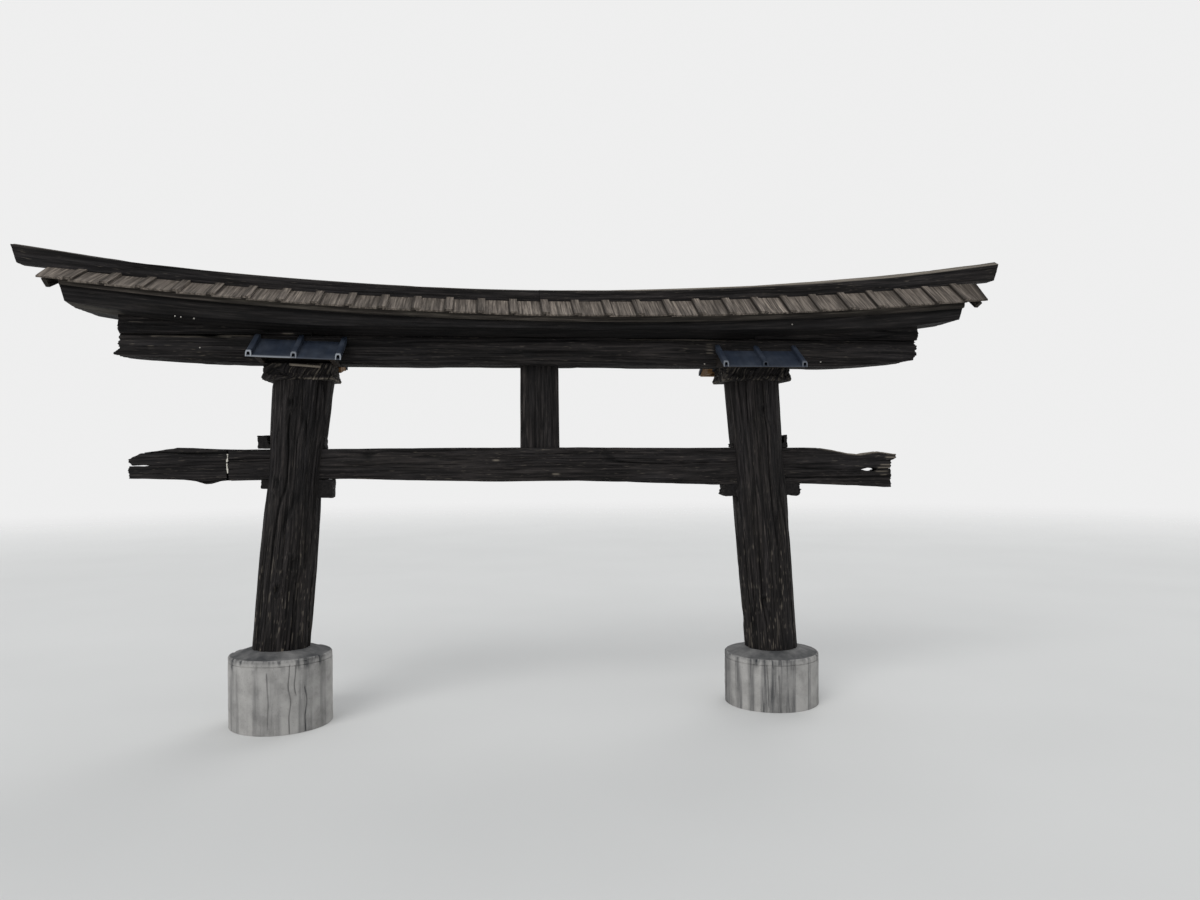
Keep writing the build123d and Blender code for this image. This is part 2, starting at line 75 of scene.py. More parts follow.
class GateSizes(bpy.types.PropertyGroup):
    """Sizes that the timbers share, read from the CAD model's box where a box gives them"""
    ridge_half: length(
        "Half ridge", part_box("ridge_right")[1][0], "From the middle of the gate to the ridge's end"
    )
    ridge_width: length("Ridge width", 0.12, "Front to back")
    ridge_rise: length("Ridge rise", 0.207, "How far the ridge curves up by its ends")
    roof_rise: length("Roof rise", 0.182, "How far the boards curve up by the ridge's ends")
    roof_drop: length("Roof fall", 0.094, "Fall of a slope from the ridge to the eave in the middle")
    roof_twist: length("Roof twist", 0.034, "Extra fall of the front slope at the right end")
    roof_run: length("Roof run", 0.19, "From the ridge's face to the eave")
    joint: length("Lintel joint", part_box("lower_lintel")[1][2], "Height at which the two lintels meet")
    log_bottom: length(
        "Log underside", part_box("lower_lintel")[0][2], "Height of the lower lintel's underside"
    )
    log_radius: length("Log radius", 0.13, "Radius of the lower lintel before it is sawn")
    log_half: length("Half log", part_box("lower_lintel")[1][0], "Half the lower lintel's length")
    upper_height: length("Upper lintel height", 0.205, "In the middle, under the ridge")
    upper_half: length("Half upper lintel", 2.712, "Half the upper lintel's length")
    upper_width: length("Upper lintel width", 0.44, "Front to back")
    keel_flat: length("Level keel", 1.06, "The upper lintel's underside is level this far from the middle")
    keel_width: length("Keel width", 0.2, "Width of the underside between its bevels")
    check_depth: length("Check depth", 0.013, "Depth of the widest drying cracks in the logs")
    groove_depth: length("Groove depth", 0.0055, "Depth of the worn grooves between the hard rings")


class RoofSizes(bpy.types.PropertyGroup):
    """Sizes of the roof boards and battens"""
    pitch: length("Pitch", 0.1905, "From one batten to the next")
    first_joint: length("Middle joint", 0.0265, "Place of the joint nearest the middle of the gate")
    joints: IntProperty(name="Joints", default=14, description="Joints to each side of the middle one")
    left_half: length("Left half", 2.832, "From the middle to the front slope's left end, at the ridge")
    right_half: length(
        "Right half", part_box("roof_slope_front")[1][0],
        "From the middle to the front slope's right end, at the ridge",
    )
    left_rake: length("Left rake", 0.025, "How far the left end draws in towards the eave")
    right_rake: length("Right rake", 0.032, "How far the right end draws in towards the eave")
    board: length("Board thickness", 0.01, "Thickness of a board")
    sag: length("Sag", 0.018, "The most that the boards fall beyond the slope under them")
    bed: length("Bed", 0.005, "Gap between the boards and what they are nailed to")
    batten_width: length("Batten width", 0.047, "Width of the battens that cover the joints")
    batten: length("Batten thickness", 0.013, "Thickness of a batten")


class HoodSizes(bpy.types.PropertyGroup):
    """Sizes of the sheet metal hoods"""
    width: length("Width", 0.526, "Along the gate")
    reach: length("Reach", 0.318, "From the middle plane to the eave")
    fall: length("Fall", 0.112, "Fall of the sheet from the log to the eave")
    sheet: length("Sheet", 0.0012, "Thickness of the folded sheet")
    lip: length("Lip", 0.005, "Turned down edge at the eave")
    seam_width: length("Seam width", 0.033, "Width of the caps over the seams")
    seam_height: length("Seam height", 0.03, "Height of the caps over the seams")
    pan: length("Pan", 0.0012, "How far the sheet hollows between the seams")


class GateColours(bpy.types.PropertyGroup):
    """Colours of the gate's finishes"""
    log: colour("Old log", "#211e1d", "Weathered face of the logs")
    log_dark: colour("Log shadow", "#0d0c0d", "Cracks and damp parts of the logs")
    log_light: colour("Log ridge", "#3b3634", "Hard rings worn proud")
    # The worn colour also paints the light on the ridge's crest and the upper lintel's left underside
    worn: colour("Worn wood", "#8f8679", "Bleached wood on edges")
    board: colour("Roof board", "#655d56", "Silvered roof boards")
    board_dark: colour("Roof board shadow", "#3d3731", "Damp grain of the roof boards")
    board_light: colour("Roof board ridge", "#948a7e", "Bleached grain of the roof boards")
    fresh: colour("New wood", "#8a6a49", "Sawn frames that carry the hoods")
    metal: colour("Hood metal", "#262d39", "Painted sheet steel")
    concrete: colour("Concrete", "#a4a29f", "Cast plinths")
    # The stain colour also paints the shade on the right plinth's left side
    stain: colour("Stain", "#2f3134", "Algae and drips on the plinths")
    lime: colour("Lime filler", "#d8d4c9", "Filler in the tie beam's joint")
    floor: colour("Floor", "#dcdcda", "Stage floor")


# Sizes of the CAD model, in metres
SLAB = 0.018
KEEL_RISE = {"left": 0.148, "right": 0.126}
# Where the log's underside starts to rise, and how far it has risen by its ends
LOG_RISE = {"left": (1.4, 0.052), "right": (1.75, 0.045)}
# Pillars as X of the foot, X of the head, height of the foot and height of the head
PILLARS = {"left": (-1.56, -1.418, 0.41, 2.035), "right": (1.476, 1.358, 0.32, 2.038)}


# The photograph's camera: yaw, pitch and roll in degrees, place in metres, lengths in pixels
CAMERA_TURN = (7.297, 0.273, -0.429)
CAMERA_PLACE = (-0.341, -5.611, 1.586)
FOCAL_PIXELS = 901
PHOTO_PIXELS = 1200


# Curves seen from the front, shared by the timbers

def arc(x, reach, rise):
    """Height of an arc that is level at 0 and has risen by rise at reach."""
    radius = (reach ** 2 + rise ** 2) / (2 * rise)
    return radius - np.sqrt(radius ** 2 - np.asarray(x, float) ** 2)


def lintel_top(x):
    s = bpy.context.scene.gate_sizes
    return s.joint + s.upper_height + arc(x, s.ridge_half, s.roof_rise)


def board_rise():
    s = bpy.context.scene.gate_sizes
    return SLAB * math.hypot(s.roof_run, s.roof_drop) / s.roof_run


def front_fall(x):
    """Fall of the front slope from the ridge's face to the eave."""
    s = bpy.context.scene.gate_sizes
    return s.roof_drop + s.roof_twist * np.asarray(x, float) / s.ridge_half


def keel(x):
    """The upper lintel's underside, level in the middle and curving up to its ends."""
    s = bpy.context.scene.gate_sizes
    past = np.maximum(0, np.abs(x) - s.keel_flat)
    reach = s.upper_half - s.keel_flat
    left, right = (arc(past, reach, KEEL_RISE[side]) for side in ("left", "right"))
    return s.joint + np.where(np.asarray(x) < 0, left, right)


def log_underside(x):
    """The lower lintel's underside, which curves up a little at its ends."""
    s = bpy.context.scene.gate_sizes
    x = np.asarray(x, float)
    height = s.log_bottom
    for side, sign in (("left", -1), ("right", 1)):
        start, rise = LOG_RISE[side]
        height = height + arc(np.maximum(0, sign * x - start), s.log_half - start, rise)
    return height


# Noise on a lattice, for shapes

def noise(points, cells, seed):
    """Smooth noise from 0 to 1, with this many cells to a metre along each of the three directions."""
    table = np.random.default_rng(seed).random((32, 32, 32))
    place = points * np.asarray(cells, float) + 100 + seed
    low = np.floor(place).astype(int)
    part = place - low
    part = part * part * (3 - 2 * part)
    total = 0
    for corner in itertools.product((0, 1), repeat=3):
        at = (low + np.array(corner)) % 32
        weight = np.where(corner, part, 1 - part).prod(axis=-1)
        total = total + weight * table[at[..., 0], at[..., 1], at[..., 2]]
    return total


def cracks(points, along, across, width, seed):
    """1 along the lines of cracks that follow the grain, about along metres long and across metres apart."""
    value = noise(points, (1 / along, 1 / across, 1 / across), seed)
    return np.exp(-((value - 0.5) / width) ** 2)


def smooth(value, low, high):
    share = np.clip((value - low) / (high - low), 0, 1)
    return share * share * (3 - 2 * share)


def weathered(check=1.0, groove=1.0, swell=0.003, length_scale=1.0, seed=1):
    """Gives how far old timber's surface moves and how dark its hollows are, in grain coordinates."""
    sizes = bpy.context.scene.gate_sizes

    def shape(grain):
        wander = np.zeros_like(grain)
        wander[..., 1] = 0.02 * (noise(grain, (3, 6, 6), seed + 7) - 0.5)
        wander[..., 2] = 0.02 * (noise(grain, (3, 6, 6), seed + 8) - 0.5)
        bent = grain + wander
        slow = noise(grain, (1.6, 5, 5), seed) - 0.5
        wide = cracks(bent, 0.8 * length_scale, 0.05, 0.035, seed + 1)
        wide = wide * smooth(noise(bent, (1.4, 9, 9), seed + 2), 0.35, 0.6)
        thin = cracks(bent, 0.4 * length_scale, 0.0145, 0.1, seed + 3)
        thin = thin * smooth(noise(bent, (3, 16, 16), seed + 4), 0.15, 0.45)
        fine = noise(bent, (7 / length_scale, 150, 150), seed + 5)
        push = 2 * swell * slow - check * sizes.check_depth * wide
        push = push - groove * sizes.groove_depth * (thin + 0.5 * fine)
        return push, np.clip(0.9 * wide + 0.65 * thin, 0, 1)

    return shape


def worn_lines(p, lines, width):
    """How worn the front of a log is, for lines given as start, stop and height."""
    x, y, z = p.T
    worn = np.zeros(len(p))
    for start, stop, height in lines:
        along = smooth(x, start - 0.01, start + 0.01) * smooth(-x, -stop - 0.01, -stop + 0.01)
        worn = np.maximum(worn, along * np.exp(-((z - height) / width) ** 2))
    return worn * smooth(-y, 0.0, 0.04)


# Closed shells swept along the grain

def eased(corners, radius, gap):
    """Points round a section with eased corners, for every station at once, about gap apart."""
    ahead = np.roll(corners, -1, axis=1)
    side = np.linalg.norm(ahead - corners, axis=-1, keepdims=True)
    way = (ahead - corners) / np.maximum(side, 1e-6)
    leave = corners + way * np.minimum(radius, side / 2.1)
    arrive = ahead - way * np.minimum(radius, side / 2.1)
    points = []
    for i in range(corners.shape[1]):
        before = arrive[:, i - 1]
        for t in (0.25, 0.5, 0.75):
            points.append((1 - t) ** 2 * before + 2 * t * (1 - t) * corners[:, i] + t ** 2 * leave[:, i])
        count = max(1, round(float(side[:, i].max()) / gap))
        for t in np.linspace(0, 1, count + 1):
            points.append(leave[:, i] + t * (arrive[:, i] - leave[:, i]))
    return np.stack(points, axis=1)


def outline(*corners):
    """Section function for corners that may each be numbers or arrays over the stations."""
    def at(stations):
        filled = [[np.broadcast_to(np.asarray(v, float), stations.shape) for v in pair] for pair in corners]
        return np.moveaxis(np.array(filled), -1, 0)
    return at


def rectangle(left, low, right, high):
    return outline((left, low), (right, low), (right, high), (left, high))


def full_turn(count):
    return np.linspace(0, 2 * math.pi, count, endpoint=False)


def circles(radii, angle):
    """Round sections, one for each station."""
    return radii[:, None, None] * np.stack([np.cos(angle), np.sin(angle)], -1)[None]


def normals(grid):
    """Outward directions on a grid of rings."""
    along = np.gradient(grid, axis=0)
    around = np.roll(grid, -1, axis=1) - np.roll(grid, 1, axis=1)
    out = np.cross(around, along)
    out = out / np.maximum(np.linalg.norm(out, axis=-1, keepdims=True), 1e-9)
    spread = grid - grid.mean(axis=1, keepdims=True)
    return out if (out * spread).sum() > 0 else -out


def swept(
    stations, section, place, shape=None, ends=(None, None), bare=None, shift=(0, 0, 0), fibres=None,
    caps=(0.985, 0.8, 0.55, 0.3),
):
    """Closed shell along a timber: the section at each station, its ends and a weathered surface.

    It works in directions along the timber and twice across it, and place puts the points in the gate.
    Fibres gives the grain's directions where they aren't the timber's. Without caps, ends are flat faces.
    """
    section = section(stations)
    share = ((stations - stations[0]) / (stations[-1] - stations[0]))[:, None]
    tips = (stations[0], stations[-1])
    reach = [(f(section[..., 0], section[..., 1]) if f else 0) for f in ends]
    along = stations[:, None] + reach[0] * (1 - share) ** 3 + reach[1] * share ** 3 + 0 * section[..., 0]
    grid = np.concatenate([along[..., None], section], axis=-1)
    wear = np.zeros(grid.shape[:2])
    if shape:
        push, wear = shape(grid + np.array(shift))
        grid = grid + normals(grid) * push[..., None]
    rings = []
    for end, ring in ((0, grid[0]), (1, grid[-1])):
        centre = ring.mean(axis=0)
        layer = []
        for scale in caps + ((0.0,) if caps else ()):
            points = centre + (ring - centre) * scale
            if ends[end]:
                points[:, 0] = tips[end] + ends[end](points[:, 1], points[:, 2])
            layer.append(points)
        rings.append(layer)
    count = grid.shape[1]
    full = np.array(rings[0][:-1][::-1] + list(grid) + rings[1][:-1]) if caps else grid
    wear_full = np.zeros(full.shape[:2])
    skip = len(caps)
    wear_full[skip:skip + len(grid)] = wear
    is_end = np.ones(full.shape[:2])
    is_end[skip:skip + len(grid)] = 0
    points = full.reshape(-1, 3)
    rows, columns = np.meshgrid(np.arange(full.shape[0] - 1), np.arange(count), indexing="ij")
    ahead = (columns + 1) % count
    this, following = rows * count, (rows + 1) * count
    quads = np.stack([this + columns, this + ahead, following + ahead, following + columns], -1)
    faces = quads.reshape(-1, 4).tolist()
    wear_flat, end_flat = wear_full.ravel(), is_end.ravel()
    last = (full.shape[0] - 1) * count
    if caps:
        points = np.concatenate([points, rings[0][-1][:1], rings[1][-1][:1]])
        wear_flat, end_flat = np.append(wear_flat, [0, 0]), np.append(end_flat, [1, 1])
        a, b = len(points) - 2, len(points) - 1
        for i in range(count):
            j = (i + 1) % count
            faces.append([a, j, i])
            faces.append([b, last + i, last + j])
    else:
        faces.append(list(range(count - 1, -1, -1)))
        faces.append(list(range(last, last + count)))
    grain = (fibres(points) if fibres else points) + np.array(shift)
    wear_and_highlight_flat = bare(points) if bare else np.zeros(len(points))
    return {
        "points": place(points), "faces": faces, "grain": grain, "wear": wear_flat, "bare": wear_and_highlight_flat,
        "end": end_flat,
    }


def signed_volume(points, faces):
    """Volume inside a shell, below 0 where its faces point inwards."""
    quads = np.array([f for f in faces if len(f) == 4]).reshape(-1, 4)
    triangles = [quads[:, [0, 1, 2]], quads[:, [0, 2, 3]]]
    for f in faces:
        if len(f) != 4:
            triangles.append(np.array([[f[0], f[i], f[i + 1]] for i in range(1, len(f) - 1)]))
    t = np.concatenate(triangles)
    p = points - points.mean(axis=0)
    return np.einsum("ij,ij->i", p[t[:, 0]], np.cross(p[t[:, 1]], p[t[:, 2]])).sum()


def finish_piece(name, mesh, slot, nodes, sharp):
    """Links a finished mesh as a piece of the gate that rides on it and stands for these CAD nodes."""
    mesh.set_sharp_from_angle(angle=math.radians(sharp))
    piece = bpy.data.objects.new(name, mesh)
    bpy.context.scene.collection.objects.link(piece)
    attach(piece, "root")
    if nodes:
        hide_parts(*nodes)


def piece_of(name, shells, look, slot, nodes=None, sharp=50):
    """One piece from closed shells, with their grain and wear kept as attributes for its finish.

    It stands for the CAD node of the same name, unless nodes says otherwise.
    """
    mesh = bpy.data.meshes.new(name)
    points, faces, start = [], [], 0
    for shell in shells:
        if signed_volume(shell["points"], shell["faces"]) < 0:
            shell["faces"] = [f[::-1] for f in shell["faces"]]
        points.append(shell["points"])
        faces += [[i + start for i in f] for f in shell["faces"]]
        start += len(shell["points"])
    mesh.from_pydata(np.concatenate(points).tolist(), [], faces)
    for key in ("grain", "wear", "bare", "end"):
        kind, field = ("FLOAT_VECTOR", "vector") if key == "grain" else ("FLOAT", "value")
        data = mesh.attributes.new(key, kind, "POINT").data
        data.foreach_set(field, np.concatenate([shell[key] for shell in shells]).astype(np.float32).ravel())
    mesh.shade_smooth()
    mesh.materials.append(finish(look))
    finish_piece(name, mesh, slot, [name] if nodes is None else nodes, sharp)


# Places for the swept shells

def along_x(line=None, turned=False):
    """Along the gate, over a curved line. Turned is the same piece on the gate's other face."""
    sign = -1 if turned else 1

    def place(p):
        x, y, z = p[:, 0], p[:, 1], p[:, 2]
        z = z + (line(x) if line else 0)
        return np.stack([sign * x, sign * y, z], -1)

    return place


def upright(centre):
    """Standing timbers, where centre gives X of the middle at each height."""
    return lambda p: np.stack([centre(p[:, 0]) + p[:, 1], p[:, 2], p[:, 0]], -1)


def front_to_back(p):
    """Blocks whose section is seen from the front."""
    return np.stack([p[:, 1], p[:, 0], p[:, 2]], -1)


def ragged(depth, slant=0.0, level=0.0, seed=3, cell=0.014, sign=1):
    """End surface that is splintered by depth, and leans by slant for each metre above level."""
    def end(u, v):
        p = np.stack([np.zeros_like(u), u, v], -1)
        rough = noise(p, (1, 1 / cell, 1 / cell), seed) + 0.5 * noise(
            p, (1, 3 / cell, 3 / cell), seed + 1
        ) - 0.75
        return sign * (slant * (v - level) + depth * rough)
    return end


# Nodes

def fill(tree, node, inputs):
    """Links or sets inputs by name or number."""
    for key, value in inputs.items():
        if isinstance(value, bpy.types.NodeSocket):
            tree.links.new(value, node.inputs[key])
        else:
            node.inputs[key].default_value = value


def add(tree, kind, inputs=None, stops=(), **settings):
    """Adds a node, sets its options and colour stops, and links or fills its inputs by name or number."""
    node = tree.nodes.new(kind)
    for key, value in settings.items():
        setattr(node, key, value)
    for i, (place, shade) in enumerate(stops):
        made = node.color_ramp.elements
        stop = made[i] if i < len(made) and i < 2 else made.new(place)
        stop.position = place
        stop.color = (*shade, 1)
    fill(tree, node, inputs or {})
    return node


def grey(value):
    return (value, value, value)


def new_finish(name):
    material = bpy.data.materials.new(name)
    material.use_nodes = True
    tree = material.node_tree
    tree.nodes.clear()
    shader = add(tree, "ShaderNodeBsdfPrincipled")
    output = add(tree, "ShaderNodeOutputMaterial", {"Surface": shader.outputs["BSDF"]})
    output.location = (300, 0)
    return material, tree, shader


def scaled(shade, factor):
    """The same colour, lighter or darker."""
    return tuple(factor * v for v in shade)


def maths(tree, operation, *values):
    return add(tree, "ShaderNodeMath", dict(enumerate(values)), operation=operation).outputs[0]


def stored(tree, name, output="Fac"):
    """An attribute that the mesh carries."""
    return add(tree, "ShaderNodeAttribute", attribute_name=name).outputs[output]


def ranged(tree, value, start, stop, low=0.0, high=1.0):
    """Runs from low to high while the value runs from start to stop."""
    limits = {"Value": value, "From Min": start, "From Max": stop, "To Min": low, "To Max": high}
    return add(tree, "ShaderNodeMapRange", limits).outputs[0]


def cloudy(tree, place, scale, detail, rough=0.5):
    settings = {"Vector": place, "Scale": scale, "Detail": detail, "Roughness": rough}
    return add(tree, "ShaderNodeTexNoise", settings).outputs["Fac"]


def ramp(tree, factor, *stops):
    return add(tree, "ShaderNodeValToRGB", {"Fac": factor}, stops=stops).outputs["Color"]


def bumped(tree, shader, height, strength, distance):
    """Bumps a finish by a height, over distance in metres."""
    bump = add(tree, "ShaderNodeBump", {"Height": height, "Strength": strength, "Distance": distance})
    tree.links.new(bump.outputs[0], shader.inputs["Normal"])


def mixed(tree, factor, a, b, blend="MIX"):
    """Mixes two colours, where the second may be a plain one."""
    b = b if isinstance(b, bpy.types.NodeSocket) else (*b, 1)
    return add(tree, "ShaderNodeMix", {0: factor, 6: a, 7: b}, data_type="RGBA", blend_type=blend).outputs[2]


def timber(name, dark, base, light, worn, fibre=3.0, relief=0.0016, flecks=0.5, tint="#2a2f3a"):
    """Weathered cedar: grey-black fibres worn into ridges, bleached flecks, and cracks that stay dark."""
    material, tree, shader = new_finish(name)
    place = stored(tree, "grain", "Vector")
    # A noise cell is two fibres of fibre mm wide and 22 times as long, as in slow grown cedar
    across = 1000 / fibre / 2

    def pattern(lengthwise, sideways, detail=3.0, rough=0.55):
        spread = add(tree, "ShaderNodeMapping", {"Vector": place, "Scale": (lengthwise, sideways, sideways)})
        return cloudy(tree, spread.outputs[0], 1.0, detail, rough)

    fibres = pattern(across / 22, across, 4.0, 0.65)
    patches = pattern(1.6, 9.0, 2.0)
    streaks = pattern(2.5, 60.0, 3.0)
    spots = pattern(14.0, 190.0, 2.0)
    tone = ramp(tree, fibres, (0.32, dark), (0.5, base), (0.72, light))
    wide = ramp(tree, streaks, (0.35, grey(0.45)), (0.65, grey(1.4)))
    tone = mixed(tree, 1.0, tone, wide, "MULTIPLY")
    cold = ranged(tree, patches, 0.4, 0.65, 0.0, 0.45)
    cast = tuple(4.2 * c ** 0.5 for c in linear(tint))
    tone = mixed(tree, cold, tone, mixed(tree, 1.0, tone, cast, "MULTIPLY"))
    # Boards carry a tone of their own, and some are damper and darker than others
    damp = stored(tree, "tone")
    damp = maths(tree, "MULTIPLY", damp, 0.3)
    tone = mixed(tree, damp, tone, dark)
    # Bleached flecks on the highest fibres
    fleck = ranged(tree, spots, 0.64, 0.74, 0.0, flecks)
    tone = mixed(tree, fleck, tone, worn)
    # Mixed towards worn wood: bleached fibres and worn marks on most pieces, and painted light on the ridge's
    # crest and the upper lintel's left underside
    bare = stored(tree, "bare")
    broken = ranged(tree, fibres, 0.3, 0.6, 0.35, 1.0)
    bare = maths(tree, "MULTIPLY", bare, broken)
    tone = mixed(tree, bare, tone, worn)
    end = stored(tree, "end")
    tone = mixed(tree, maths(tree, "MULTIPLY", end, 0.6), tone, dark)
    # Darkened by the wear attribute: cracks on most pieces, and on the roof boards the painted shade beside
    # the battens
    wear = stored(tree, "wear")
    hollow_and_shade = maths(tree, "MULTIPLY", wear, 0.85)
    tone = mixed(tree, hollow_and_shade, tone, scaled(dark, 0.35))
    rough = ranged(tree, streaks, 0.3, 0.7, 0.92, 0.72)
    fill(tree, shader, {"Base Color": tone, "Roughness": rough, "Specular IOR Level": 0.2})
    fine = pattern(40.0, 900.0, 2.0)
    height = maths(tree, "MULTIPLY_ADD", fine, 0.3, fibres)
    bumped(tree, shader, height, 0.8, relief)
    return material


def finishes():
    """All the gate's materials by name, made once."""
    c = bpy.context.scene.gate_colours
    made = {}
    worn = tuple(c.worn)
    dark, base, light = tuple(c.log_dark), tuple(c.log), tuple(c.log_light)
    board, board_dark, board_light = tuple(c.board), tuple(c.board_dark), tuple(c.board_light)
    fresh = tuple(c.fresh)
    timbers = {
        "old_cedar_log": (dark, base, light, worn, {"flecks": 0.16}),
        "old_cedar_beam": (dark, base, scaled(light, 0.8), worn, {"fibre": 3.6, "flecks": 0.32}),
        # Painted shade: a darkened copy of the beam finish for the upper lintel, standing for the shade under
        # the roof
        "shaded_cedar_beam": (
            dark, scaled(base, 0.6), scaled(light, 0.5), scaled(worn, 0.55), {"flecks": 0.1}
        ),
        "sawn_cedar_block": (
            dark, scaled(base, 1.3), scaled(light, 1.5), worn,
            {"fibre": 5.0, "relief": 0.003, "flecks": 0.6},
        ),
        "silvered_roof_board": (
            board_dark, board, board_light, scaled(worn, 1.3),
            {"fibre": 4.0, "relief": 0.0008, "flecks": 0.25, "tint": "#454545"},
        ),
        "silvered_fascia": (
            scaled(board_dark, 0.5), scaled(board, 0.3), scaled(board_light, 0.28), worn,
            {"fibre": 4.0, "flecks": 0.15, "tint": "#3b4038"},
        ),
        "sawn_new_cedar": (
            scaled(fresh, 0.35), fresh, scaled(fresh, 1.3), scaled(fresh, 1.6),
            {"fibre": 4.0, "relief": 0.0006, "flecks": 0.15, "tint": "#6a5a48"},
        ),
        # Painted shade: a darkened copy of the new wood for the front bearers, standing for the shade under
        # the hoods
        "aged_hood_frame": (
            dark, scaled(fresh, 0.07), scaled(fresh, 0.14), worn,
            {"fibre": 4.0, "relief": 0.0006, "flecks": 0.05},
        ),
    }
    for name, (*shades, settings) in timbers.items():
        made[name] = timber(name, *shades, **settings)
    made["painted_steel_sheet"] = painted_steel(tuple(c.metal))
    made["cast_concrete"] = cast_concrete(tuple(c.concrete), tuple(c.stain))
    made["lime_filler"] = lime_filler(tuple(c.lime))
    made["zinc_nail"] = zinc_nail()
    return made


def painted_steel(base):
    """Painted steel sheet: satin blue-black, chalking paint, dust and run marks down the slope."""
    material, tree, shader = new_finish("painted_steel_sheet")
    place = add(tree, "ShaderNodeTexCoord").outputs["Object"]
    # Runs in noise cells 20 mm wide and 250 mm long, down the slope
    runs = add(tree, "ShaderNodeMapping", {"Vector": place, "Scale": (50.0, 4.0, 4.0)}).outputs[0]
    run = cloudy(tree, runs, 1.0, 4.0)
    cloud = cloudy(tree, place, 9.0, 5.0)
    tone = ramp(tree, run, (0.3, scaled(base, 0.8)), (0.55, base), (0.75, scaled(base, 1.3)))
    dust = ranged(tree, cloud, 0.45, 0.75, 0.0, 0.18)
    tone = mixed(tree, dust, tone, linear("#59606b"))
    # Pale grey mixed in where the hoods carry painted highlights on the eave and the seam caps' ends
    bare = stored(tree, "bare")
    tone = mixed(tree, bare, tone, linear("#a9aeb4"))
    rough = ranged(tree, cloud, 0.3, 0.7, 0.38, 0.62)
    fill(tree, shader, {"Base Color": tone, "Roughness": rough, "Specular IOR Level": 0.4})
    grit = cloudy(tree, place, 260.0, 2.0)
    bumped(tree, shader, grit, 0.25, 0.0004)
    return material


def cast_concrete(base, stain):
    """Cast concrete: pale grey with fine pores, run marks down its side and a dark, damp top."""
    material, tree, shader = new_finish("cast_concrete")
    place = stored(tree, "grain", "Vector")
    # Drip marks in noise cells 29 mm wide and 450 mm long, down the side
    down = add(tree, "ShaderNodeMapping", {"Vector": place, "Scale": (2.2, 34.0, 34.0)}).outputs[0]
    drip = cloudy(tree, down, 1.0, 5.0, 0.65)
    cloud = cloudy(tree, place, 7.0, 6.0, 0.6)
    pores = cloudy(tree, place, 160.0, 3.0)
    tone = ramp(tree, cloud, (0.3, scaled(base, 0.68)), (0.5, base), (0.72, scaled(base, 1.25)))
    speck = ranged(tree, pores, 0.62, 0.72, 0.0, 0.4)
    tone = mixed(tree, speck, tone, stain)
    # Stained by the wear attribute: cracks, runs and the damp top, and on the right plinth also its painted
    # shade
    wear = stored(tree, "wear")
    heavy = ranged(tree, drip, 0.42, 0.62)
    heavy = maths(tree, "MULTIPLY_ADD", heavy, 0.6, 0.4)
    stain_and_shade = maths(tree, "MULTIPLY", wear, heavy)
    tone = mixed(tree, stain_and_shade, tone, stain)
    end = stored(tree, "end")
    damp = ranged(tree, cloud, 0.3, 0.7, 0.95, 0.6)
    tone = mixed(tree, maths(tree, "MULTIPLY", end, damp), tone, stain)
    fill(tree, shader, {"Base Color": tone, "Roughness": 0.9, "Specular IOR Level": 0.3})
    height = maths(tree, "MULTIPLY_ADD", pores, 0.4, cloud)
    bumped(tree, shader, height, 0.5, 0.004)
    return material


def lime_filler(base):
    """Lime filler: chalky white, crumbled, with grey dust in its pores."""
    material, tree, shader = new_finish("lime_filler")
    place = add(tree, "ShaderNodeTexCoord").outputs["Object"]
    grit = cloudy(tree, place, 120.0, 4.0)
    tone = ramp(tree, grit, (0.35, scaled(base, 0.35)), (0.5, base))
    fill(tree, shader, {"Base Color": tone, "Roughness": 0.95})
    bumped(tree, shader, grit, 0.7, 0.002)
    return material


def zinc_nail():
    """Galvanised steel nail: dull grey metal with white bloom."""
    material, tree, shader = new_finish("zinc_nail")
    place = add(tree, "ShaderNodeTexCoord").outputs["Object"]
    bloom = cloudy(tree, place, 400.0, 3.0)
    tone = ramp(tree, bloom, (0.35, linear("#6f6a64")), (0.6, linear("#c9c6bf")))
    rough = ranged(tree, bloom, 0.0, 1.0, 0.4, 0.8)
    fill(tree, shader, {"Base Color": tone, "Roughness": rough, "Metallic": 0.6})
    return material


FINISHES = {}


def finish(name):
    if not FINISHES:
        FINISHES.update(finishes())
    return FINISHES[name]


# Geometry Nodes trees

def new_tree(name, inputs):
    """Geometry Nodes tree with named inputs, given as name, socket type and default."""
    tree = bpy.data.node_groups.new(name, "GeometryNodeTree")
    tree.interface.new_socket(name="Geometry", in_out="INPUT", socket_type="NodeSocketGeometry")
    for label, kind, default in inputs:
        socket = tree.interface.new_socket(name=label, in_out="INPUT", socket_type="NodeSocket" + kind)
        if default is not None:
            socket.default_value = default
    tree.interface.new_socket(name="Geometry", in_out="OUTPUT", socket_type="NodeSocketGeometry")
    return tree, add(tree, "NodeGroupInput"), add(tree, "NodeGroupOutput")


def named(tree, name, kind="FLOAT_VECTOR"):
    return add(tree, "GeometryNodeInputNamedAttribute", {"Name": name}, data_type=kind).outputs["Attribute"]


def keep(tree, geometry, name, value, kind="FLOAT"):
    """Keeps a value on the points as an attribute."""
    inputs = {"Geometry": geometry, "Name": name, "Value": value}
    return add(tree, "GeometryNodeStoreNamedAttribute", inputs, data_type=kind, domain="POINT").outputs[0]


def vectors(tree, operation, inputs):
    return add(tree, "ShaderNodeVectorMath", inputs, operation=operation).outputs[0]


def copies(tree, given, mesh):
    """A real copy of the mesh on every point, with the point's own turn and size."""
    turn = add(tree, "FunctionNodeEulerToRotation", {0: named(tree, "turn")}).outputs[0]
    inputs = {
        "Points": given.outputs["Geometry"], "Instance": mesh, "Rotation": turn, "Scale": named(tree, "size")
    }
    laid = add(tree, "GeometryNodeInstanceOnPoints", inputs)
    return add(tree, "GeometryNodeRealizeInstances", {"Geometry": laid.outputs[0]}).outputs[0]


def covered(tree, given, result, geometry):
    """Gives the geometry its material and hands it out."""
    inputs = {"Geometry": geometry, "Material": given.outputs["Material"]}
    done = add(tree, "GeometryNodeSetMaterial", inputs).outputs[0]
    tree.links.new(done, result.inputs[0])
    return tree


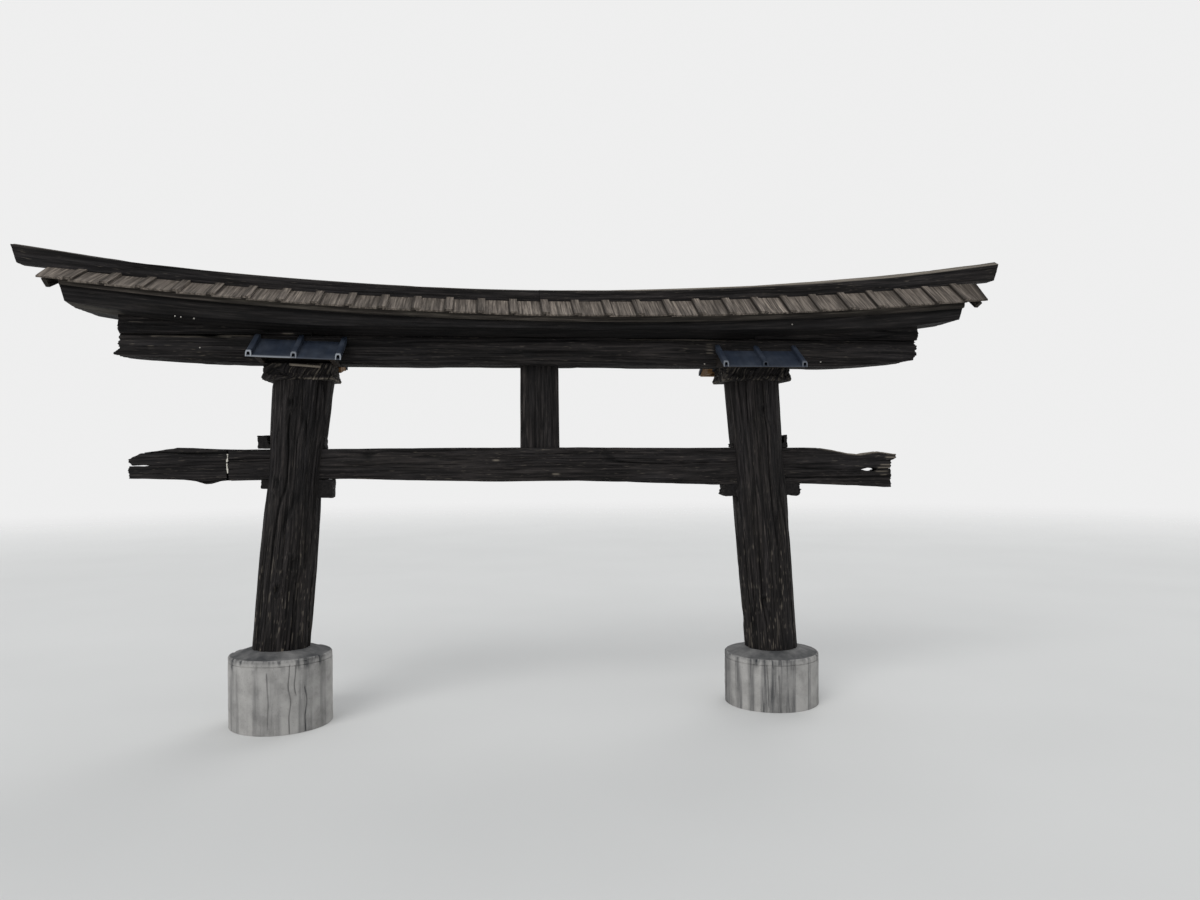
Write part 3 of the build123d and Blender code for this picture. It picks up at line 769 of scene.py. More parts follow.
def laid_boards_tree():
    """Boards laid on points that carry their turn and size, each with its own grain and worn lower end."""
    tree, given, result = new_tree("laid boards", [
        ("Rows across", "Int", 5),
        ("Rows along", "Int", 12),
        ("Worn end", "Float", 0.006),
        ("Warp", "Float", 0.002),
        ("Material", "Material", None),
    ])
    rows = {"Vertices X": given.outputs["Rows across"], "Vertices Y": given.outputs["Rows along"]}
    cube = add(tree, "GeometryNodeMeshCube", {"Size": (1, 1, 1), "Vertices Z": 2, **rows})
    position = add(tree, "GeometryNodeInputPosition").outputs[0]
    real = copies(tree, given, keep(tree, cube.outputs["Mesh"], "unit", position, "FLOAT_VECTOR"))
    local = vectors(tree, "MULTIPLY", {0: named(tree, "unit"), 1: named(tree, "size")})
    parts = add(tree, "ShaderNodeSeparateXYZ", {0: local})
    tone = named(tree, "tone", "FLOAT")
    offset = maths(tree, "MULTIPLY", tone, 9.0)
    sideways = maths(tree, "ADD", parts.outputs["X"], offset)
    directions = {"X": parts.outputs["Y"], "Y": sideways, "Z": parts.outputs["Z"]}
    grain = add(tree, "ShaderNodeCombineXYZ", directions).outputs[0]
    kept = keep(tree, real, "grain", grain, "FLOAT_VECTOR")
    # Painted shade: a dark band on each board just left of a batten, and along each batten's own left edge,
    # as if in the batten's shadow; it goes into the wear attribute
    beside = add(tree, "ShaderNodeSeparateXYZ", {0: named(tree, "unit")}).outputs["X"]
    turned = maths(tree, "MULTIPLY", beside, named(tree, "dirt", "FLOAT"))
    wear = ranged(tree, turned, 0.31, 0.37)
    kept = keep(tree, kept, "wear", wear)
    # Lower ends worn back unevenly along the fibres, and a slow warp over each board
    cut = vectors(tree, "MULTIPLY", {0: grain, 1: (2.0, 90.0, 90.0)})
    teeth = cloudy(tree, cut, 1.0, 3.0)
    along = add(tree, "ShaderNodeSeparateXYZ", {0: named(tree, "unit")})
    low = ranged(tree, along.outputs["Y"], -0.3, -0.5)
    bite = maths(tree, "MULTIPLY", maths(tree, "SUBTRACT", teeth, 0.5), low)
    bite = maths(tree, "MULTIPLY", bite, given.outputs["Worn end"])
    down = vectors(tree, "SCALE", {0: named(tree, "down"), "Scale": bite})
    swell = cloudy(tree, grain, 11.0, 2.0)
    swell = maths(tree, "MULTIPLY", maths(tree, "SUBTRACT", swell, 0.5), given.outputs["Warp"])
    lift = vectors(tree, "SCALE", {0: named(tree, "up"), "Scale": swell})
    # End boards are cut on a slant, so that the roof draws in towards the eave
    lower = maths(tree, "SUBTRACT", 0.5, along.outputs["Y"])
    handed = maths(tree, "MULTIPLY_ADD", along.outputs["X"], named(tree, "hand", "FLOAT"), 0.5)
    share = maths(tree, "MULTIPLY", lower, handed)
    rake = vectors(tree, "SCALE", {0: named(tree, "rake"), "Scale": share})
    move = vectors(tree, "ADD", {0: vectors(tree, "ADD", {0: down, 1: lift}), 1: rake})
    moved = add(tree, "GeometryNodeSetPosition", {"Geometry": kept, "Offset": move}).outputs[0]
    return covered(tree, given, result, moved)


def nails_tree():
    """Nail heads on points that carry their turn and size."""
    tree, given, result = new_tree("nail heads", [("Sides", "Int", 8), ("Material", "Material", None)])
    inputs = {"Segments": given.outputs["Sides"], "Rings": 5, "Radius": 1.0}
    head = add(tree, "GeometryNodeMeshUVSphere", inputs).outputs["Mesh"]
    return covered(tree, given, result, copies(tree, given, head))


def grown(name, tree, points, values, slot, nodes=(), **attributes):
    """Piece that a Geometry Nodes tree makes on points with these attributes."""
    seed = bpy.data.meshes.new(name + "_points")
    seed.from_pydata([tuple(p) for p in points], [], [])
    for key, value in attributes.items():
        value = np.asarray(value, np.float32)
        kind, field = ("FLOAT_VECTOR", "vector") if value.ndim == 2 else ("FLOAT", "value")
        seed.attributes.new(key, kind, "POINT").data.foreach_set(field, value.ravel())
    holder = bpy.data.objects.new(name + "_points", seed)
    bpy.context.scene.collection.objects.link(holder)
    modifier = holder.modifiers.new("grow", "NODES")
    modifier.node_group = tree
    for item in tree.interface.items_tree:
        if item.item_type == "SOCKET" and item.in_out == "INPUT" and item.name in values:
            modifier[item.identifier] = values[item.name]
    graph = bpy.context.evaluated_depsgraph_get()
    mesh = bpy.data.meshes.new_from_object(holder.evaluated_get(graph), depsgraph=graph)
    if not len(mesh.polygons):
        raise RuntimeError(name + ": the tree made nothing")
    mesh.name = name
    bpy.data.objects.remove(holder)
    finish_piece(name, mesh, slot, nodes, sharp=40)


# Pieces

class PieceOperator:
    bl_options = {"REGISTER", "UNDO"}

    def execute(self, context):
        self.build(context.scene)
        return {"FINISHED"}


class GATE_OT_plinths(PieceOperator, bpy.types.Operator):
    """Cast concrete plinths with a mould line, cracks, drip stains and mortar banked up round the logs"""
    bl_idname = "gate.plinths"
    bl_label = "Plinths"

    def build(self, scene):
        # Cracks as an angle in radians, and the share of the height where they start and stop
        cracks_at = {
            "left": (
                (-1.08, 0.52, 0.93), (-1.2, 0.0, 0.95), (-0.88, 0.0, 0.62), (-1.62, 0.1, 0.85),
                (2.2, 0.2, 0.9),
            ),
            "right": ((-1.95, 0.1, 0.9), (-1.72, 0.0, 0.7), (1.1, 0.0, 0.8)),
        }
        for side, raised, lean in (("left", 0.006, (0.0, -0.03)), ("right", 0.0, (0.0, 0.0))):
            low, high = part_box("plinth_" + side)
            radius = (high[0] - low[0]) / 2
            middle = (low[0] + high[0]) / 2
            top = high[2] + raised
            seed = 11 if side == "left" else 23
            angle = full_turn(700)
            line = top - 0.035
            # Levels down from the top, close together at the mould line and the rim
            band = (0.041, 0.038, 0.037, 0.035, 0.033, 0.032, 0.027, 0.02, 0.013, 0.009, 0.006, 0.003, 0.0)
            levels = np.concatenate([np.linspace(0, top - 0.046, 46), top - np.array(band)])

            def section(z):
                groove = 0.004 * smooth(-np.abs(z - line), -0.0032, -0.0018)
                size = radius - groove - 0.008 * smooth(z, top - 0.009, top + 0.003)
                return circles(size, angle)

            def bank(u, v):
                """Mortar rises towards the foot of the log, and the cast top isn't quite level."""
                return 0.03 * smooth(-np.hypot(u, v), -0.285, -0.175) + lean[0] * u + lean[1] * v

            def shape(grain):
                z, u, v = grain[..., 0], grain[..., 1], grain[..., 2]
                turn = np.arctan2(v, u)
                push = 0.0035 * (noise(grain, (7, 7, 7), seed) - 0.5)
                push = push + 0.0016 * (noise(grain, (45, 45, 45), seed + 1) - 0.5)
                chip = smooth(noise(grain, (30, 22, 22), seed + 2), 0.68, 0.82) * smooth(z, top - 0.03, top)
                push = push - 0.006 * chip
                short = smooth(noise(grain, (9, 40, 40), seed + 5), 0.5, 0.7)
                short = short * smooth(z, top - 0.075, top - 0.02)
                long = smooth(noise(grain, (1.1, 24, 24), seed + 6), 0.5, 0.72)
                runs = 0.85 if side == "right" else 0.45
                dark = 0.85 * short + runs * long + 0.55 * smooth(z, top - 0.02, top)
                if side == "right":
                    # Painted shade and light: the right plinth is darkened on its left side and lightened on
                    # its right side, as seen from the camera
                    shaded_side = smooth(np.cos(turn - math.radians(162)), 0.75, 0.97)
                    lit_side = smooth(np.cos(turn + 0.3), 0.4, 0.9)
                    dark = dark + 0.9 * shaded_side - 0.4 * lit_side
                for at, start, stop in cracks_at[side]:
                    wander = noise(np.stack([z, 0 * z + at, 0 * z], -1), (11, 1, 1), seed + 4) - 0.5
                    near = np.exp(-((turn - at - 0.07 * wander) * radius / 0.003) ** 2)
                    near = near * smooth(z / top, start - 0.03, start + 0.03)
                    near = near * smooth(-z / top, -stop - 0.03, -stop + 0.03)
                    push = push - 0.004 * near
                    dark = dark + 1.6 * near
                return push, np.clip(dark, 0, 1)

            rings = (0.985, 0.95, 0.9, 0.85, 0.8, 0.75, 0.7, 0.64, 0.58, 0.5)
            shell = swept(levels, section, upright(lambda z: middle), shape, (None, bank), caps=rings)
            piece_of("plinth_" + side, [shell], "cast_concrete", "concrete")


class GATE_OT_pillars(PieceOperator, bpy.types.Operator):
    """Leaning cedar logs with deep drying checks, knots and a worn waist at the tie beam"""
    bl_idname = "gate.pillars"
    bl_label = "Pillars"

    def build(self, scene):
        # Heights up each log and its radius there
        waists = {
            "left": (
                (0.41, 0.9, 1.2, 1.35, 1.45, 1.62, 1.72, 1.85, 2.035),
                (0.1685, 0.169, 0.164, 0.16, 0.155, 0.158, 0.166, 0.171, 0.178),
            ),
            "right": (
                (0.32, 0.93, 1.15, 1.32, 1.45, 1.6, 1.8, 2.038),
                (0.1685, 0.174, 0.174, 0.175, 0.168, 0.166, 0.172, 0.176),
            ),
        }
        # Knots as height, degrees from the front and radius
        knots = {
            "left": (
                (1.427, -30, 0.034), (0.953, 20, 0.04), (0.809, -7.6, 0.026), (1.899, -9, 0.026),
                (1.1, 150, 0.03), (1.75, 200, 0.03),
            ),
            "right": (
                (1.295, -72, 0.03), (1.855, 4, 0.026), (0.669, -23, 0.02), (0.62, 160, 0.03),
                (1.5, 130, 0.028),
            ),
        }
        angle = full_turn(330)
        for side in ("left", "right"):
            foot, head, low, high = PILLARS[side]
            seed = 31 if side == "left" else 57
            heights, radii = waists[side]
            wear_of = weathered(1.0, 1.0, 0.004, 1.0, seed)

            def section(z):
                return circles(np.interp(z, heights, radii), angle)

            def shape(grain):
                z, turn = grain[..., 0], np.arctan2(grain[..., 2], grain[..., 1])
                bent = grain.copy()
                rise = np.zeros_like(z)
                hole = np.zeros_like(z)
                for height, degrees, size in knots[side]:
                    across = (turn - math.radians(degrees - 90) + math.pi) % (2 * math.pi) - math.pi
                    away = np.hypot(across * 0.17, 0.75 * (z - height)) / size
                    swirl = np.exp(-(away / 1.6) ** 2)
                    bent[..., 0] = bent[..., 0] + 0.25 * swirl
                    collar = np.exp(-((away - 1.0) / 0.45) ** 2)
                    rise = rise + 0.008 * collar - 0.009 * np.exp(-(away / 0.55) ** 2)
                    hole = hole + np.exp(-(away / 0.8) ** 2)
                push, dark = wear_of(bent)
                foot_rot = smooth(-z, -low - 0.06, -low) * 0.006
                push = push + rise - foot_rot * noise(grain, (1, 50, 50), seed + 9)
                return push, np.clip(dark + 0.8 * hole, 0, 1)

            centre = lambda z: foot + (head - foot) * (z - low) / (high - low)

            def bare(p):
                """Splintered fibre tips that have bleached, most of them low down and at the foot."""
                tips = smooth(noise(p, (24, 210, 210), seed + 12), 0.76, 0.86) * smooth(-p[:, 0], -1.5, -0.6)
                foot_tips = smooth(noise(p, (8, 70, 70), seed + 13), 0.5, 0.66)
                foot_tips = foot_tips * smooth(-p[:, 0], -low - 0.04, -low - 0.012)
                return np.clip(0.5 * tips + 0.45 * foot_tips, 0, 1)

            shell = swept(np.linspace(low, high, 250), section, upright(centre), shape, bare=bare)
            piece_of("pillar_" + side, [shell], "old_cedar_log", "old_timber")


class GATE_OT_cap_blocks(PieceOperator, bpy.types.Operator):
    """Rotted cap blocks between the pillars and the lower lintel, and a nailed lath"""
    bl_idname = "gate.cap_blocks"
    bl_label = "Cap blocks"

    def build(self, scene):
        for side, radius, knot in (("left", 0.016, 0.8), ("right", 0.022, 0.15)):
            low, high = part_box("cap_block_" + side)
            middle = (low[0] + high[0]) / 2
            half, depth = (high[0] - low[0]) / 2, (high[1] - low[1]) / 2
            seed = 71 if side == "left" else 83
            levels = np.linspace(low[2], high[2], 34)

            def section(z):
                drawn_in = 0.004 * smooth(-(z - low[2]), -0.012, 0.0)
                drawn_in = drawn_in + 0.009 * smooth(z - low[2], 0.012, 0.05)
                u, v = half - drawn_in, depth - drawn_in
                return eased(rectangle(-u, -v, u, v)(z), radius, 0.004)

            def strands(p):
                """Fibres lie on the slant across the faces and turn at a knot, faint at the right."""
                z, u, v = p[..., 0] - low[2], p[..., 1], p[..., 2]
                warp = noise(p, (18, 14, 14), seed + 8) - 0.5
                away = np.hypot(u + 0.02 + 0.06 * warp, 1.3 * (z - 0.045) + 0.04 * warp)
                tilt = 0.95 + 0.25 * np.sin(11 * u + 5 * v) + 0.6 * warp + knot * np.exp(-(away / 0.05) ** 2)
                along = z * np.sin(tilt) + (u + 0.6 * v) * np.cos(tilt)
                across = (u + 0.6 * v) * np.sin(tilt) - z * np.cos(tilt)
                return np.stack([along, across, v], -1)

            def shape(grain):
                fibre = strands(grain)
                strand = cracks(fibre, 0.06, 0.0085, 0.16, seed)
                deep = cracks(fibre, 0.07, 0.028, 0.06, seed + 1)
                lump = noise(grain, (14, 12, 12), seed + 2) - 0.5
                return 0.01 * lump - 0.0035 * strand - 0.006 * deep, np.clip(0.65 * strand + 0.9 * deep, 0, 1)

            def bare(p):
                edge = np.exp(-((p[:, 0] - low[2] - 0.007) / 0.005) ** 2)
                straw = smooth(noise(strands(p), (12, 120, 120), seed + 6), 0.62, 0.74)
                broken = smooth(noise(p, (30, 14, 14), seed + 5), 0.45, 0.65)
                return np.clip(0.6 * edge * broken + 0.4 * straw, 0, 1)

            shell = swept(levels, section, upright(lambda z: middle), shape, bare=bare, fibres=strands)
            piece_of("cap_block_" + side, [shell], "sawn_cedar_block", "old_timber")
        low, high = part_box("cap_lath_left")
        tilt = math.tan(math.radians(-4.5))
        mid_x, mid_z = (low[0] + high[0]) / 2, (low[2] + high[2]) / 2 + 0.019

        def place(p):
            return np.stack([mid_x + p[:, 0], low[1] + 0.004 + p[:, 1], mid_z + p[:, 2] + tilt * p[:, 0]], -1)

        section = lambda s: eased(rectangle(-0.004, -0.007, 0.004, 0.007)(s), 0.0015, 0.002)
        ends = (ragged(0.006, sign=-1), ragged(0.006))
        pale = lambda p: np.full(len(p), 0.75)
        shape = weathered(0.1, 0.25, 0.001, 0.5, 5)
        lath = swept(np.linspace(-0.087, 0.087, 60), section, place, shape, ends, pale)
        piece_of("cap_lath_left", [lath], "silvered_roof_board", "new_wood")


# The tie beam's upper and lower lines, as X and height
BEAM_TOP = (
    (-2.398, 1.57), (-2.308, 1.617), (-2.2, 1.632), (-2.13, 1.645), (-2.045, 1.642), (-1.9, 1.634),
    (-1.757, 1.632), (-1.15, 1.632), (-0.235, 1.634), (0.235, 1.634), (1.084, 1.622), (1.689, 1.622),
    (1.78, 1.62), (1.906, 1.6), (1.98, 1.583), (2.063, 1.576), (2.12, 1.585), (2.189, 1.593), (2.292, 1.576),
)
BEAM_BOTTOM = (
    (-2.398, 1.46), (-2.1, 1.449), (-2.026, 1.44), (-1.968, 1.421), (-1.911, 1.437), (-1.84, 1.444),
    (-1.757, 1.445), (-1.15, 1.445), (-0.235, 1.421), (0.235, 1.421), (1.084, 1.385), (1.689, 1.385),
    (2.28, 1.359), (2.292, 1.36),
)


def beam_line(*points):
    xs, zs = zip(*points)
    return lambda x: np.interp(x, xs, zs)


class GATE_OT_tie_beam(PieceOperator, bpy.types.Operator):
    """Tie beam with split, splintered ends, a joint left of the left pillar and the filler in it"""
    bl_idname = "gate.tie_beam"
    bl_label = "Tie beam"

    def build(self, scene):
        top, bottom = beam_line(*BEAM_TOP), beam_line(*BEAM_BOTTOM)
        low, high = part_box("tie_beam")
        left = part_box("tie_beam_left_end")[0][0]
        joint, right = low[0], high[0]
        half = (high[1] - low[1]) / 2

        def part(start, stop, floor, roof, ends, seed, count, bare=None):
            def section(x):
                corners = rectangle(-half, floor(x), half, roof(x))(x)
                return eased(corners, 0.012, 0.0045)

            wear_of = weathered(0.75, 0.9, 0.004, 1.2, seed)

            def shape(grain):
                """Worn fibres that part round the knot high up on the beam's front."""
                x, y, z = grain[..., 0], grain[..., 1], grain[..., 2]
                away = np.hypot(x + 1.035, z - 1.585) / 0.035 + 9 * (y > 0)
                bent = grain.copy()
                bent[..., 2] = bent[..., 2] + 0.012 * np.exp(-(away / 1.8) ** 2)
                push, dark = wear_of(bent)
                dark = dark + 0.9 * np.exp(-(away / 0.9) ** 2)
                return push - 0.006 * np.exp(-(away / 0.6) ** 2), np.clip(dark, 0, 1)

            stations = np.linspace(start, stop, count)
            return swept(stations, section, along_x(), shape, ends, bare, caps=(0.97, 0.75, 0.5, 0.25))

        marks = ((0.075, 0.115, 1.466), (-1.1, -1.075, 1.448), (-0.29, -0.257, 1.554))
        splinters = (
            (2.235, 2.3, 1.553), (2.2, 2.27, 1.505), (2.18, 2.27, 1.487), (2.17, 2.25, 1.462),
            (2.2, 2.24, 1.44),
        )

        def worn(p):
            return 0.6 * worn_lines(p, marks, 0.005)

        def pale_top(p):
            near_top = smooth(p[:, 2] - top(p[:, 0]), -0.014, -0.002) * smooth(p[:, 0], 1.74, 1.86)
            return np.maximum(0.85 * near_top, 0.8 * worn_lines(p, splinters, 0.004))

        def torn(u, v):
            """The upper corner sticks out as a nose, and the rest is torn back in thin splinters."""
            back = 0.034 * smooth(-v, -1.548, -1.532)
            return ragged(0.018, seed=12, cell=0.011)(u, v) - back

        # Height of the split in the beam's ends, and half its gap in each
        split = beam_line(
            (-2.4, 1.54), (-2.28, 1.541), (-1.85, 1.545), (1.5, 1.495), (2.09, 1.476), (2.18, 1.474),
            (2.3, 1.481),
        )
        open_right = beam_line(
            (1.6, -0.005), (2.085, -0.0035), (2.11, 0.004), (2.135, 0.009), (2.18, 0.0085),
            (2.215, -0.0025), (2.3, -0.001),
        )
        open_left = beam_line((-2.4, -0.001), (-2.33, 0.002), (-2.27, -0.004), (-1.85, -0.005))
        square = ragged(0.003, seed=8)
        main = part(joint + 0.006, 1.5, bottom, top, (ragged(0.004, seed=6, sign=-1), square), 101, 335, worn)
        over, under = (lambda x: split(x) + open_right(x)), (lambda x: split(x) - open_right(x))
        upper = part(1.44, right + 0.012, over, top, (square, torn), 111, 130, pale_top)
        lower = part(1.44, right + 0.012, bottom, under, (square, torn), 121, 130, pale_top)
        piece_of("tie_beam", [main, upper, lower], "old_cedar_beam", "old_timber")
        stub = ragged(0.004, seed=9)
        over, under = (lambda x: split(x) + open_left(x)), (lambda x: split(x) - open_left(x))
        rotten = ragged(0.03, 0.35, 1.55, seed=16, cell=0.03, sign=-1)
        upper = part(left + 0.012, joint - 0.006, over, top, (rotten, stub), 131, 90)
        rotten = ragged(0.03, 0.0, 1.5, seed=18, cell=0.03, sign=-1)
        lower = part(left + 0.002, joint - 0.006, bottom, under, (rotten, stub), 141, 90)
        piece_of("tie_beam_left_end", [upper, lower], "old_cedar_beam", "old_timber")

        def filler(z):
            wide = 0.0035 + 0.005 * (noise(np.stack([z, 0 * z, 0 * z], -1), (60, 1, 1), 6) - 0.5)
            return eased(rectangle(-wide, -half - 0.001, wide, half - 0.004)(z), 0.002, 0.006)

        def crumbs(grain):
            return 0.004 * (noise(grain, (90, 90, 90), 15) - 0.6), np.zeros(grain.shape[:2])

        place = upright(lambda z: joint + 0.002 * np.sin(60 * z))
        spans = ((1.556, 1.604), (1.49, 1.548))
        fills = [swept(np.linspace(start, stop, 30), filler, place, crumbs) for start, stop in spans]
        piece_of("joint_filler", fills, "lime_filler", "old_timber", nodes=())


class GATE_OT_wedges(PieceOperator, bpy.types.Operator):
    """Wedges over the tie beam and packing under it, worn and splintered where they stick out"""
    bl_idname = "gate.wedges"
    bl_label = "Wedges and packing"

    def build(self, scene):
        wedge_half, packing_half = 0.046, 0.056

        def block(corners, half, seed, rough=1.0):
            section = lambda y: eased(outline(*corners)(y), 0.006, 0.006)

            def shape(grain):
                bent = np.stack([grain[..., 1], grain[..., 0], grain[..., 2]], -1)
                push, dark = weathered(0.35 * rough, 0.8 * rough, 0.003 * rough, 0.5, seed)(bent)
                return push + 0.004 * rough * (noise(grain, (30, 40, 40), seed + 11) - 0.5), dark

            return swept(np.linspace(-half, half, 22), section, front_to_back, shape)

        wedges = {
            "wedge_upper_left_outer": (
                (-1.68, 1.632), (-1.55, 1.632), (-1.55, 1.66), (-1.617, 1.668), (-1.62, 1.717),
                (-1.683, 1.713),
            ),
            "wedge_upper_left_inner": (
                (-1.35, 1.63), (-1.285, 1.63), (-1.287, 1.7), (-1.3, 1.714), (-1.322, 1.66)
            ),
            "wedge_upper_right_outer": (
                (1.46, 1.62), (1.582, 1.62), (1.58, 1.705), (1.558, 1.7), (1.555, 1.655), (1.46, 1.64)
            ),
            "wedge_upper_right_inner": ((1.216, 1.62), (1.33, 1.62), (1.33, 1.638), (1.214, 1.65)),
        }
        for i, (node, corners) in enumerate(wedges.items()):
            piece_of(node, [block(corners, wedge_half, 151 + i)], "old_cedar_beam", "old_timber")
        left = block(((-1.345, 1.34), (-1.245, 1.335), (-1.243, 1.447), (-1.345, 1.447)), packing_half, 161)
        stub = block(((-1.66, 1.395), (-1.6, 1.395), (-1.6, 1.447), (-1.657, 1.447)), packing_half, 163)
        piece_of("packing_left", [left, stub], "old_cedar_beam", "old_timber")
        inner = block(
            ((1.15, 1.326), (1.175, 1.314), (1.25, 1.316), (1.25, 1.39), (1.158, 1.39), (1.163, 1.362)),
            packing_half, 165, rough=1.4,
        )
        outer = block(
            (
                (1.56, 1.318), (1.655, 1.31), (1.668, 1.325), (1.66, 1.34), (1.672, 1.352), (1.655, 1.36),
                (1.66, 1.39), (1.56, 1.39),
            ),
            packing_half, 167, rough=1.6,
        )
        piece_of("packing_right", [inner, outer], "old_cedar_beam", "old_timber")


class GATE_OT_strut(PieceOperator, bpy.types.Operator):
    """Plank between the tie beam and the lower lintel"""
    bl_idname = "gate.strut"
    bl_label = "Centre strut"

    def build(self, scene):
        low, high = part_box("centre_strut")
        half, thick = (high[0] - low[0]) / 2, (high[1] - low[1]) / 2

        def section(z):
            u = half - 0.003 * (z - low[2]) / (high[2] - low[2])
            return eased(rectangle(-u, -thick, u, thick)(z), 0.006, 0.004)

        stations = np.linspace(low[2] - 0.004, high[2] + 0.004, 120)
        shape = weathered(0.3, 0.55, 0.0015, 0.8, 201)
        shell = swept(stations, section, upright(lambda z: 0 * z), shape)
        piece_of("centre_strut", [shell], "old_cedar_log", "old_timber")


class GATE_OT_lower_lintel(PieceOperator, bpy.types.Operator):
    """Lower lintel, a log sawn level above and below, with rotted ends, and the fillers over its ends"""
    bl_idname = "gate.lower_lintel"
    bl_label = "Lower lintel"

    def build(self, scene):
        sizes = scene.gate_sizes
        middle = (sizes.joint + sizes.log_bottom) / 2
        angle = full_turn(210)

        def section(x):
            y = sizes.log_radius * np.cos(angle)[None] + 0 * x[:, None]
            z = middle + sizes.log_radius * np.sin(angle)[None]
            z = np.clip(z, log_underside(x)[:, None], sizes.joint)
            return np.stack([y, z], -1)

        def left_end(u, v):
            tip = 0.022 * smooth(-v, -sizes.log_bottom - 0.09, -sizes.log_bottom - 0.052)
            return ragged(0.022, seed=21, cell=0.012, sign=-1)(u, v) - tip

        def right_end(u, v):
            tip = 0.02 * smooth(-v, -sizes.log_bottom - 0.09, -sizes.log_bottom - 0.045)
            return ragged(0.02, seed=25, cell=0.013)(u, v) - tip

        ends = (left_end, right_end)
        marks = [(0.559, 1.166, 2.296), (-2.251, -1.809, 2.29), (-1.893, -1.697, 2.298)]
        # Four scrapes, one under the other, beside the right hood
        marks += [(1.038, 1.076, z) for z in (2.268, 2.25, 2.231, 2.212)]

        def worn(p):
            return 0.45 * worn_lines(p, marks, 0.004)

        shape = weathered(0.8, 1.0, 0.004, 1.6, 211)
        stations = np.linspace(-sizes.log_half + 0.011, sizes.log_half - 0.02, 430)
        shell = swept(stations, section, along_x(), shape, ends, worn, shift=(5, 0, 0))
        piece_of("lower_lintel", [shell], "old_cedar_beam", "old_timber")
        for side, sign in (("left", -1), ("right", 1)):
            low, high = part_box("filler_" + side)
            wide, flat = sizes.log_radius - 0.004, sizes.keel_width / 2
            inner, outer = (high[0], low[0]) if sign < 0 else (low[0], high[0])
            stations = np.linspace(inner, outer, 110)

            def filler(x):
                roof = keel(x) + 0.001
                floor = sizes.joint - 0.002
                # The upper lintel's bevel climbs 40 mm over 120 mm
                bevel = roof + 0.04 * (wide - flat) / 0.12
                corners = (
                    (-wide, floor), (wide, floor), (wide, bevel), (flat, roof), (-flat, roof), (-wide, bevel)
                )
                return eased(outline(*corners)(x), 0.003, 0.006)

            marks = ((-1.781, -1.556, 2.357), (-1.482, -1.288, 2.361), (-1.517, -1.454, 2.31))
            tip = ragged(0.016, seed=33, cell=0.012, sign=sign)
            worn = lambda p: 0.7 * worn_lines(p, marks, 0.004)
            shape = weathered(0.5, 0.8, 0.002, 1.5, 221)
            shell = swept(stations, filler, along_x(), shape, (None, tip), worn)
            piece_of("filler_" + side, [shell], "old_cedar_beam", "old_timber")


class GATE_OT_upper_lintel(PieceOperator, bpy.types.Operator):
    """Upper lintel with a bevelled keel that curves up to slanted ends"""
    bl_idname = "gate.upper_lintel"
    bl_label = "Upper lintel"

    def build(self, scene):
        sizes = scene.gate_sizes
        half, flat = sizes.upper_width / 2, sizes.keel_width / 2
        edge = sizes.ridge_width / 2
        run = (half - edge) / sizes.roof_run

        def section(x):
            floor = keel(x) - lintel_top(x)
            front = -run * front_fall(x)
            rear = -run * front_fall(-x)
            # Each face's bevel is half as high at its left end and runs out at its right end
            bevel = lambda x: 0.04 - 0.018 * smooth(-x, 1.8, 2.7) - 0.041 * smooth(x, 1.5, 2.5)
            corners = (
                (-flat, floor), (flat, floor), (half, floor + bevel(-x)), (half, rear), (edge, 0), (-edge, 0),
                (-half, front), (-half, floor + bevel(x)),
            )
            return eased(outline(*corners)(x), 0.0025, 0.007)

        ends = (ragged(0.0015, 0.3, -0.056, seed=41, sign=-1), ragged(0.0015, 0.3, -0.056, seed=43))

        # Painted light: near the keel at the front of the left end, the underside is lightened towards worn
        # wood, standing for light thrown up from the ground
        def bare(p):
            under = smooth(-(p[:, 2] + lintel_top(p[:, 0]) - keel(p[:, 0])), -0.025, -0.021)
            return 0.35 * under * smooth(-p[:, 0], 2.38, 2.41) * smooth(-p[:, 1], 0.0, 0.1)

        stations = np.linspace(-sizes.upper_half, sizes.upper_half, 440)
        shape = weathered(0.12, 0.3, 0.0015, 2.0, 231)
        shell = swept(stations, section, along_x(lintel_top), shape, ends, bare, shift=(9, 0, 0))
        piece_of("upper_lintel", [shell], "shaded_cedar_beam", "old_timber")


